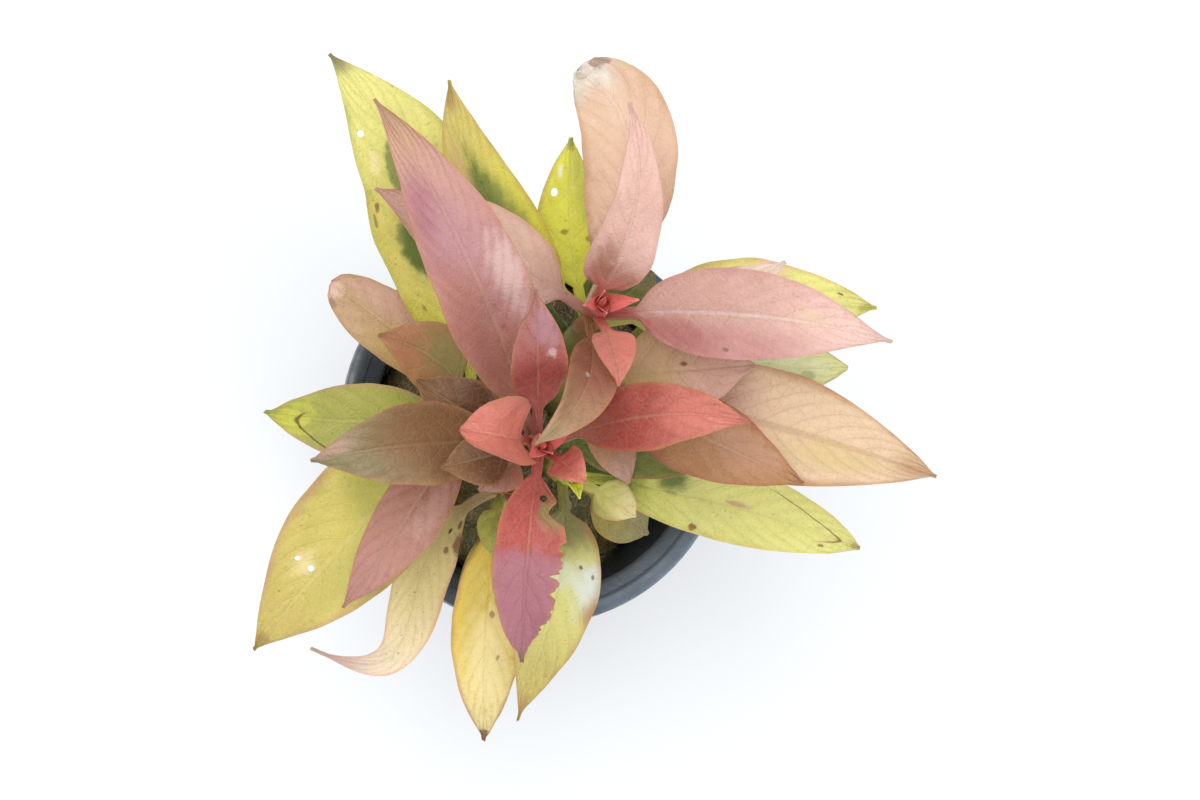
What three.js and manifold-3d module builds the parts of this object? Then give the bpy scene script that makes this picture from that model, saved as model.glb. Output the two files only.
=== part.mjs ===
// A potted hygrophila, the compact aquarium plant: six leafy cuttings rooted in a rockwool plug
// that fills a small slotted net pot. Millimetres, +Z up. The origin is the centre of the pot's
// flat foot, on the surface that the pot stands on. Every leaf, stem, the plug and the pot is a
// solid of its own.

import * as THREE from "three";
import { mergeVertices } from "three/addons/utils/BufferGeometryUtils.js";
import Module from "manifold-3d";

const wasm = await Module();
wasm.setup();

// The net pot, a tapered cup with a flat lip.
const POT_HEIGHT = 50;
const LIP_RADIUS = 28;
const LIP_THICKNESS = 1.6;
const LIP_SKIRT = 3;
const BODY_TOP_RADIUS = 24.6;
const FOOT_RADIUS = 18;
const WALL = 1.2;
const FLOOR = 1.6;
const ROUND_SIDES = 48;
const SIDE_SLOTS = 16;
const SLOT_WIDTH = 3.4;
const SLOT_LOW = 6;
const SLOT_HIGH = 37;
const FLOOR_SLOTS = 8;
const FLOOR_SLOT_WIDTH = 2.6;
const FLOOR_SLOT_INNER = 6.5;
const FLOOR_SLOT_OUTER = 14.5;

// The rockwool plug, which stops a little below the lip and heaves slightly in the middle.
const GAP = 0.35;
const PLUG_SIDE_GAP = 0.5;
const PLUG_EDGE_HEIGHT = 42;
const PLUG_CROWN = 2.5;
const PLUG_SHOULDER_HEIGHT = 34;
const PLUG_TOP_RADIUS = 18.5;
const PLUG_SIDES = 24;
const PLUG_RINGS = 3;

// The stems, which start inside the plug.
const STEM_RADIUS = 1.7;
const STEM_SIDES = 7;
const STEM_STEPS = 9;
const STEM_DEPTH = 7;
const STEM_HOLE_DEPTH = 0.5;
const STEM_LEAN = 0.35;
const STEM_TAPER = 0.7;
const BUD_LENGTH = 7;
const BUD_RADIUS = 1.5;
const BUD_SUNK = 1.5;

// The leaves.
const BLADE_THICKNESS = 0.7;
const STALK_THICKNESS = 1.3;
const STALK_LENGTH = 4;
const STALK_HALF_WIDTH = 0.75;
const TIP_HALF_WIDTH = 0.3;
const WIDEST_AT = 0.43;
const OUTLINE_POWER = 2;
const FOLD_CURVE = 1.4;
const LONG_LEAF = 27;
const WIDE_LEAF = 12.5;

// Each shoot rises from its root, where it leaves the plug, to its crown.
const SHOOTS = {
  main: { root: [-3, -1], crown: [-9, -3, 107] },
  rear: { root: [3, 9], crown: [0, 16, 101] },
  middle: { root: [4, 3], crown: [-1, 7, 90] },
  left: { root: [-10, 3], crown: [-13, 3, 79] },
  front: { root: [-5, -8], crown: [-9, -8, 76] },
  right: { root: [3, -5], crown: [1, -7, 73] },
};

// Leaf finishes, from the young red crown to the old yellow foot.
const COLOURS = {
  salmon: 0xd98a76,
  crimson: 0xc25560,
  maroon: 0xa04f55,
  magenta: 0xb06a7c,
  rose: 0xcf9a8e,
  pink: 0xecc0bb,
  peach: 0xe8cdb0,
  tan: 0xd6b183,
  brown: 0x9a7556,
  olive: 0xa6a052,
  lime: 0xd3db4a,
  yellow: 0xdcd05e,
  gold: 0xeccb58,
  moss: 0x8a9a58,
  green: 0x5f8a3f,
};

// The leaves of each shoot, from the crown down. at is the height where the leaf leaves its stem
// and tip is where it ends. arch is how far the midrib bows up off a straight line, bend moves its
// middle aside and hook its last stretch. fold raises the two halves and bank rolls the blade, both
// in degrees. widest is the share of the blade where it is widest, and power makes it pointed (high)
// or blunt (low). stalk is the length of a stalk that is shorter than the others.
const LEAVES = {
  main: [
    { at: 104, tip: [-21, -1, 113], width: 12, arch: 4, fold: 40, bank: 15, widest: 0.5, colour: "salmon" },
    { at: 104, tip: [-4, -8, 111], width: 6, arch: 2, fold: 25, colour: "crimson" },
    { at: 101, tip: [-12, 17, 119], width: 8, arch: 1, fold: 12, colour: "maroon" },
    {
      at: 99, tip: [-10, -32, 96], width: 10, arch: 5, bend: [-1.2, 0, 0], fold: 12, stalk: 2.2,
      colour: "magenta",
    },
    { at: 97, tip: [18, 0, 112], width: 9.5, arch: 3, bend: [0, 2.2, 0], fold: 15, colour: "salmon" },
    { at: 96, tip: [-22, -6, 103], width: 8, arch: 2, fold: 15, colour: "maroon" },
    { at: 94, tip: [-33, 42, 117], width: 13, arch: 7, bend: [1, 0.5, 0], fold: 12, colour: "rose" },
    { at: 92, tip: [-16, -9, 97], width: 6, arch: 2, fold: 15, colour: "magenta" },
    { at: 88, tip: [-38, -5, 92], width: 11.5, arch: 5, bend: [0, 1, 0], fold: 10, colour: "brown" },
    { at: 85, tip: [-23, 6, 88], width: 9, arch: 3, bend: [0, -1, 0], fold: 10, colour: "brown" },
    { at: 76, tip: [22, -4, 80], width: 9, arch: 4, fold: 12, colour: "olive" },
  ],
  rear: [
    { at: 99, tip: [0.5, 4.8, 111], width: 6.2, arch: 2, bend: [0.2, 0.5, 0], fold: 20, colour: "pink" },
    {
      at: 98, tip: [1, 42, 116], width: 9, arch: 4, bend: [2.3, 0, 0], fold: 15, widest: 0.25,
      power: 1.4, stalk: 1.6, colour: "pink",
    },
    {
      at: 95, tip: [39, 11, 105], width: 12.7, arch: 6, bend: [0, 1.3, 0], fold: 10, widest: 0.37,
      colour: "pink",
    },
    { at: 93, tip: [-31, 31, 104], width: 12, arch: 3, fold: 10, colour: "rose" },
    {
      at: 91, tip: [-3.5, 47, 101], width: 13, arch: 6, bend: [3, -1, 0], hook: [5, 6, 4],
      fold: 8, widest: 0.6, power: 1.5, colour: "peach",
    },
    { at: 96, tip: [-12, -3, 119], width: 8, arch: 3, bend: [2.5, -1, 0], fold: 25, colour: "tan" },
    { at: 87, tip: [-20, 46, 97], width: 10, arch: 5, bend: [-4, -2, 0], fold: 12, colour: "olive" },
    { at: 85, tip: [40, 16, 91], width: 13.5, arch: 3, bend: [0, 1, 0], fold: 8, colour: "lime" },
    { at: 89, tip: [26, 22, 97], width: 8, arch: 2, bend: [0, -2, 0], fold: 10, colour: "peach" },
    { at: 82, tip: [-2, 39, 89], width: 9.6, arch: 3, bend: [-1.4, 0, 0], fold: 10, colour: "lime" },
    { at: 80, tip: [10, 21, 85], width: 8, arch: 2, fold: 10, power: 1.4, colour: "moss" },
    { at: 72, tip: [6, 38, 76], width: 10, arch: 4, fold: 8, colour: "green" },
    { at: 70, tip: [-22, 36, 74], width: 11, arch: 3, fold: 8, colour: "moss" },
  ],
  middle: [
    { at: 88, tip: [22, 8, 96], width: 13, arch: 3, fold: 10, colour: "rose" },
    { at: 82, tip: [49, -7, 88], width: 15.5, arch: 6, bend: [0, 0.5, 0], fold: 8, colour: "tan" },
    { at: 86, tip: [29, -8, 94], width: 11.5, arch: 4, bend: [0, -0.5, 0], fold: 10, colour: "brown" },
    {
      at: 76, tip: [38, 8, 82], width: 12, arch: 3, bend: [0, 0.7, 0], fold: 8, power: 1.5,
      colour: "lime",
    },
    { at: 79, tip: [7, -8, 83], width: 6.5, arch: 3, fold: 15, colour: "brown" },
    { at: 66, tip: [38, 3, 67], width: 12, arch: 4, fold: 8, colour: "moss" },
    { at: 62, tip: [27, 15, 62], width: 11, arch: 3, fold: 8, colour: "green" },
  ],
  left: [
    { at: 75, tip: [-35, 50, 88], width: 18, arch: 5, bend: [3.5, 1.5, 0], fold: 8, colour: "yellow" },
    {
      at: 72, tip: [-33, 19.5, 75], width: 9, arch: 4, bend: [-0.5, 0.5, 0],
      fold: 10, widest: 0.55, power: 1.2, colour: "tan",
    },
    { at: 78, tip: [-28, 12, 86], width: 10, arch: 3, bend: [1, 1, 0], fold: 12, colour: "brown" },
    { at: 69, tip: [-41, 2, 66], width: 10.5, arch: 5, bend: [0, -1.8, 0], fold: 10, colour: "olive" },
    { at: 66, tip: [-42, -31, 62], width: 18, arch: 5, bend: [-0.8, 0.8, 0], fold: 8, colour: "yellow" },
    { at: 73, tip: [-31, -25, 73], width: 9.5, arch: 5, fold: 12, colour: "rose" },
    { at: 56, tip: [-33, -12, 54], width: 10, arch: 3, fold: 8, colour: "moss" },
  ],
  front: [
    {
      at: 61, tip: [-33, -31, 54], width: 8, arch: 3, bend: [-7, 0, 0], hook: [21.5, -17, 0],
      fold: 10, widest: 0.33, power: 2.4, colour: "gold",
    },
    { at: 66, tip: [-9, -44, 58], width: 10.5, arch: 5, bend: [-1.5, 0, 0], fold: 10, colour: "gold" },
    { at: 69, tip: [-10, -18, 73], width: 4.5, arch: 2, bend: [-1, 0, 0], fold: 15, colour: "green" },
    { at: 74, tip: [-5, -16, 78], width: 6, arch: 2, fold: 15, colour: "brown" },
    { at: 54, tip: [-10, -34, 51], width: 8, arch: 3, fold: 8, colour: "olive" },
  ],
  right: [
    {
      at: 66, tip: [43, -17, 67], width: 11, arch: 4, bend: [0, 1.3, 0], fold: 10, power: 1.5,
      colour: "lime",
    },
    { at: 71, tip: [9.5, -12.5, 75], width: 6, arch: 2, fold: 12, colour: "lime" },
    {
      at: 63, tip: [-5, -41, 63], width: 12, arch: 6, bend: [1.5, 0, 0], hook: [-2, 0, 0],
      fold: 10, widest: 0.33, colour: "olive",
    },
    { at: 61, tip: [18, -5, 64], width: 9, arch: 2, fold: 10, colour: "green" },
    { at: 55, tip: [15, -15, 55], width: 9, arch: 3, fold: 8, colour: "moss" },
  ],
};

const UP = new THREE.Vector3(0, 0, 1);

function solidOf(geometry) {
  const bare = geometry.clone();
  bare.deleteAttribute("normal");
  bare.deleteAttribute("uv");
  const merged = mergeVertices(bare, 1e-4);
  return new wasm.Manifold(
    new wasm.Mesh({
      numProp: 3,
      vertProperties: merged.attributes.position.array,
      triVerts: new Uint32Array(merged.index.array),
    }),
  );
}

function geometryOf(solid) {
  const mesh = solid.getMesh();
  const geometry = new THREE.BufferGeometry();
  geometry.setAttribute("position", new THREE.BufferAttribute(mesh.vertProperties, 3));
  geometry.setIndex(new THREE.BufferAttribute(mesh.triVerts, 1));
  return geometry;
}

function finish(colour, roughness) {
  return new THREE.MeshStandardMaterial({ color: colour, roughness, metalness: 0, flatShading: true });
}

function node(name, geometry, material) {
  const mesh = new THREE.Mesh(geometry, material);
  mesh.name = name;
  return mesh;
}

// Radius of the pot's outer wall at a height.
function bodyRadius(z) {
  return FOOT_RADIUS + ((BODY_TOP_RADIUS - FOOT_RADIUS) * z) / POT_HEIGHT;
}

// A profile of (radius, height) pairs turned about +Z.
function turned(profile, sides) {
  const points = profile.map(([r, z]) => new THREE.Vector2(r, z));
  return new THREE.LatheGeometry(points, sides).rotateX(Math.PI / 2);
}

function potGeometry() {
  const lipFoot = POT_HEIGHT - LIP_SKIRT;
  const profile = [
    [0, 0],
    [FOOT_RADIUS, 0],
    [bodyRadius(lipFoot), POT_HEIGHT - LIP_THICKNESS],
    [LIP_RADIUS - WALL, POT_HEIGHT - LIP_THICKNESS],
    [LIP_RADIUS - WALL, lipFoot],
    [LIP_RADIUS, lipFoot],
    [LIP_RADIUS, POT_HEIGHT],
    [BODY_TOP_RADIUS - WALL, POT_HEIGHT],
    [FOOT_RADIUS - WALL, FLOOR],
    [0, FLOOR],
  ];
  let pot = solidOf(turned(profile, ROUND_SIDES));
  const slotHeight = SLOT_HIGH - SLOT_LOW;
  const slotReach = 2 * (BODY_TOP_RADIUS - FOOT_RADIUS) + 4 * WALL;
  for (let i = 0; i < SIDE_SLOTS; i++) {
    const slot = new THREE.BoxGeometry(slotReach, SLOT_WIDTH, slotHeight)
      .translate(bodyRadius(SLOT_LOW), 0, SLOT_LOW + slotHeight / 2)
      .rotateZ((2 * Math.PI * (i + 0.5)) / SIDE_SLOTS);
    pot = pot.subtract(solidOf(slot));
  }
  const floorSlotLength = FLOOR_SLOT_OUTER - FLOOR_SLOT_INNER;
  for (let i = 0; i < FLOOR_SLOTS; i++) {
    const slot = new THREE.BoxGeometry(floorSlotLength, FLOOR_SLOT_WIDTH, 4 * FLOOR)
      .translate(FLOOR_SLOT_INNER + floorSlotLength / 2, 0, 0)
      .rotateZ((2 * Math.PI * i) / FLOOR_SLOTS);
    pot = pot.subtract(solidOf(slot));
  }
  return geometryOf(pot);
}

// Height of the plug's rough top at a point.
function plugTop(x, y) {
  const out = Math.hypot(x, y) / PLUG_TOP_RADIUS;
  const lumps = 0.7 * Math.sin(0.45 * x + 1) * Math.cos(0.38 * y) + 0.4 * Math.sin(0.8 * y - 0.5 * x);
  return PLUG_EDGE_HEIGHT + PLUG_CROWN * (1 - out * out) + lumps;
}

function plugGeometry() {
  const low = FLOOR + GAP;
  const side = (z) => bodyRadius(z) - WALL - PLUG_SIDE_GAP;
  const profile = [
    [0, low],
    [side(low), low],
    [side(PLUG_SHOULDER_HEIGHT), PLUG_SHOULDER_HEIGHT],
  ];
  for (let i = PLUG_RINGS; i >= 0; i--) {
    profile.push([(PLUG_TOP_RADIUS * i) / PLUG_RINGS, PLUG_EDGE_HEIGHT]);
  }
  const geometry = turned(profile, PLUG_SIDES);
  const place = geometry.attributes.position;
  for (let i = 0; i < place.count; i++) {
    if (place.getZ(i) > PLUG_SHOULDER_HEIGHT + 1) place.setZ(i, plugTop(place.getX(i), place.getY(i)));
  }
  let plug = solidOf(geometry);
  for (const shoot of Object.values(SHOOTS)) {
    plug = plug.subtract(solidOf(stemTube(shoot, STEM_RADIUS + GAP, STEM_HOLE_DEPTH)));
  }
  return geometryOf(plug);
}

// The line of a stem, whose height grows evenly along it.
function stemLine(shoot, lowered = 0) {
  const [rx, ry] = shoot.root;
  const low = PLUG_EDGE_HEIGHT + PLUG_CROWN - STEM_DEPTH - lowered;
  const [cx, cy, cz] = shoot.crown;
  return new THREE.QuadraticBezierCurve3(
    new THREE.Vector3(rx, ry, low),
    new THREE.Vector3(rx + (cx - rx) * STEM_LEAN, ry + (cy - ry) * STEM_LEAN, (low + cz) / 2),
    new THREE.Vector3(cx, cy, cz),
  );
}

function stemAt(shoot, z) {
  const line = stemLine(shoot);
  return line.getPoint((z - line.v0.z) / (line.v2.z - line.v0.z));
}

function stemTube(shoot, radius, lowered) {
  const section = new THREE.Shape(new THREE.EllipseCurve(0, 0, radius, radius).getPoints(STEM_SIDES));
  return new THREE.ExtrudeGeometry(section, {
    extrudePath: stemLine(shoot, lowered),
    steps: STEM_STEPS,
    bevelEnabled: false,
  });
}

// How thick the stem is at a height, as a share of STEM_RADIUS.
function stemTaper(shoot, z) {
  const low = PLUG_EDGE_HEIGHT;
  const share = THREE.MathUtils.clamp((z - low) / (shoot.crown[2] - low), 0, 1);
  return 1 - (1 - STEM_TAPER) * share;
}

function stemGeometry(shoot) {
  const tube = stemTube(shoot, STEM_RADIUS, 0);
  const place = tube.attributes.position;
  const point = new THREE.Vector3();
  for (let i = 0; i < place.count; i++) {
    point.fromBufferAttribute(place, i);
    const axis = stemAt(shoot, point.z);
    const share = stemTaper(shoot, point.z);
    place.setXY(i, axis.x + (point.x - axis.x) * share, axis.y + (point.y - axis.y) * share);
  }
  const [x, y, z] = shoot.crown;
  const bud = new THREE.ConeGeometry(BUD_RADIUS, BUD_LENGTH, 6)
    .rotateX(Math.PI / 2)
    .translate(x, y, z + BUD_LENGTH / 2 - BUD_SUNK);
  return geometryOf(solidOf(tube).add(solidOf(bud)));
}

// The midrib of a leaf, from the side of its stem to its tip. A steep stalk starts further out, so
// that its lower edge clears the stem.
function midribOf(leaf, shoot) {
  const tip = new THREE.Vector3(...leaf.tip);
  const axis = stemAt(shoot, leaf.at);
  const outward = tip.clone().sub(axis).setZ(0);
  const rise = (tip.z - axis.z) / 3 + (leaf.arch * 4) / 3;
  const steepness = rise / Math.hypot(rise, outward.length() / 3);
  const clear = STEM_RADIUS * stemTaper(shoot, leaf.at) + GAP + (STALK_THICKNESS / 2) * steepness;
  const base = axis.clone().addScaledVector(outward.normalize(), clear);
  const bend = new THREE.Vector3(...(leaf.bend ?? [0, 0, 0]));
  bend.addScaledVector(UP, leaf.arch).multiplyScalar(4 / 3);
  const hook = new THREE.Vector3(...(leaf.hook ?? [0, 0, 0]));
  const first = base.clone().lerp(tip, 1 / 3).add(bend);
  const last = base.clone().lerp(tip, 2 / 3).add(bend).add(hook);
  return new THREE.CubicBezierCurve3(base, first, last, tip);
}

// Half the leaf's width at a share of its length, where stalk is the share that the stalk takes.
function halfWidth(leaf, share, stalk) {
  if (share <= stalk) return STALK_HALF_WIDTH;
  const u = (share - stalk) / (1 - stalk);
  const widest = leaf.widest ?? WIDEST_AT;
  const power = leaf.power ?? OUTLINE_POWER;
  const rise = Math.pow(u / widest, power * widest);
  const fall = Math.pow(Math.max(0, 1 - u) / (1 - widest), power * (1 - widest));
  const least = THREE.MathUtils.lerp(STALK_HALF_WIDTH, TIP_HALF_WIDTH, u);
  return Math.max(least, (leaf.width / 2) * rise * fall);
}

// A leaf is a box whose length follows the midrib, drawn in to the leaf's outline, with its two
// halves raised from the midrib.
function leafGeometry(leaf, shoot) {
  const midrib = midribOf(leaf, shoot);
  const length = midrib.getLength();
  const steps = length > LONG_LEAF ? 9 : 7;
  const across = leaf.width > WIDE_LEAF ? 4 : 2;
  const stalk = (leaf.stalk ?? STALK_LENGTH) / length;
  const geometry = new THREE.BoxGeometry(steps, 2, 1, steps, across, 1).translate(steps / 2, 0, 0);
  const place = geometry.attributes.position;
  const fold = THREE.MathUtils.degToRad(leaf.fold);
  const bank = THREE.MathUtils.degToRad(leaf.bank ?? 0);
  for (let i = 0; i < place.count; i++) {
    const step = place.getX(i);
    const side = place.getY(i);
    const blade = Math.min(1, stalk + ((1 - stalk) * (step - 1)) / (steps - 1));
    const share = step <= 1 ? step * stalk : blade;
    const half = halfWidth(leaf, share, stalk);
    const thickness = step <= 1 ? STALK_THICKNESS : BLADE_THICKNESS;
    const along = midrib.getTangentAt(share);
    const level = new THREE.Vector3(-along.y, along.x, 0).normalize().applyAxisAngle(along, bank);
    const up = along.clone().cross(level);
    const cupped = half * Math.sin(fold) * Math.pow(Math.abs(side), FOLD_CURVE);
    const point = midrib
      .getPointAt(share)
      .addScaledVector(level, side * half * Math.cos(fold))
      .addScaledVector(up, cupped + place.getZ(i) * thickness);
    place.setXYZ(i, point.x, point.y, point.z);
  }
  geometry.computeVertexNormals();
  return geometry;
}

const plant = new THREE.Group();
plant.name = "potted_hygrophila";
plant.add(node("net_pot", potGeometry(), finish(0x1b2028, 0.45)));
plant.add(node("rockwool_plug", plugGeometry(), finish(0x6f684c, 0.95)));
for (const [name, shoot] of Object.entries(SHOOTS)) {
  plant.add(node("stem_" + name, stemGeometry(shoot), finish(0x7f8f45, 0.6)));
  LEAVES[name].forEach((leaf, i) => {
    const look = finish(COLOURS[leaf.colour], 0.5);
    plant.add(node(`leaf_${name}_${i + 1}`, leafGeometry(leaf, shoot), look));
  });
}

export default plant;
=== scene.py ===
"""A potted hygrophila, the compact aquarium plant: six leafy cuttings in a rockwool plug and a
small slotted net pot.

Lengths inside the builders are millimetres and every mesh is scaled to metres at its end. The
origin is the centre of the pot's flat foot, with +Z up.
"""

import bpy
import bmesh
import math
from mathutils import Matrix, Vector, noise
from bpy.props import FloatProperty, FloatVectorProperty, IntProperty, PointerProperty


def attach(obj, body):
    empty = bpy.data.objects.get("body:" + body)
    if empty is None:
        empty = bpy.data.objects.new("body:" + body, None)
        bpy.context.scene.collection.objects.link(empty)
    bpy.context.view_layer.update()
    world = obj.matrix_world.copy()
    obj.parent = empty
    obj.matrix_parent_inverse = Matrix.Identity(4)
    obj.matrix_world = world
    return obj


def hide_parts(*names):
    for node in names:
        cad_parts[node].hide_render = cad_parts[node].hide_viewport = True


bl_info = {
    "name": "Potted Hygrophila",
    "version": (1, 0, 0),
    "blender": (4, 5, 0),
    "location": "3D View > Sidebar > Plant",
    "description": "Builds a compact hygrophila with its stems, rockwool plug and net pot",
    "category": "Add Mesh",
}

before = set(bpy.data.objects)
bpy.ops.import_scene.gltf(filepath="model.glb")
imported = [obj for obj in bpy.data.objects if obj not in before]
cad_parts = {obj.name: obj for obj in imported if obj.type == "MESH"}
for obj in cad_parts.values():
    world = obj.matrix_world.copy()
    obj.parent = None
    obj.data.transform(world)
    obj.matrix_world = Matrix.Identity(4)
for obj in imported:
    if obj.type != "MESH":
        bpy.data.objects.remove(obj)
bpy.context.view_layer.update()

MM = 0.001

# Each shoot rises from its root, where it leaves the plug, to its crown. tint colours the crown.
SHOOTS = {
    "main": dict(root=(-3, -1), crown=(-9, -3, 107), tint="crimson"),
    "rear": dict(root=(3, 9), crown=(0, 16, 101), tint="crimson"),
    "middle": dict(root=(4, 3), crown=(-1, 7, 90), tint="moss"),
    "left": dict(root=(-10, 3), crown=(-13, 3, 79), tint="brown"),
    "front": dict(root=(-5, -8), crown=(-9, -8, 76), tint="brown"),
    "right": dict(root=(3, -5), crown=(1, -7, 73), tint="lime"),
}

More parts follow.
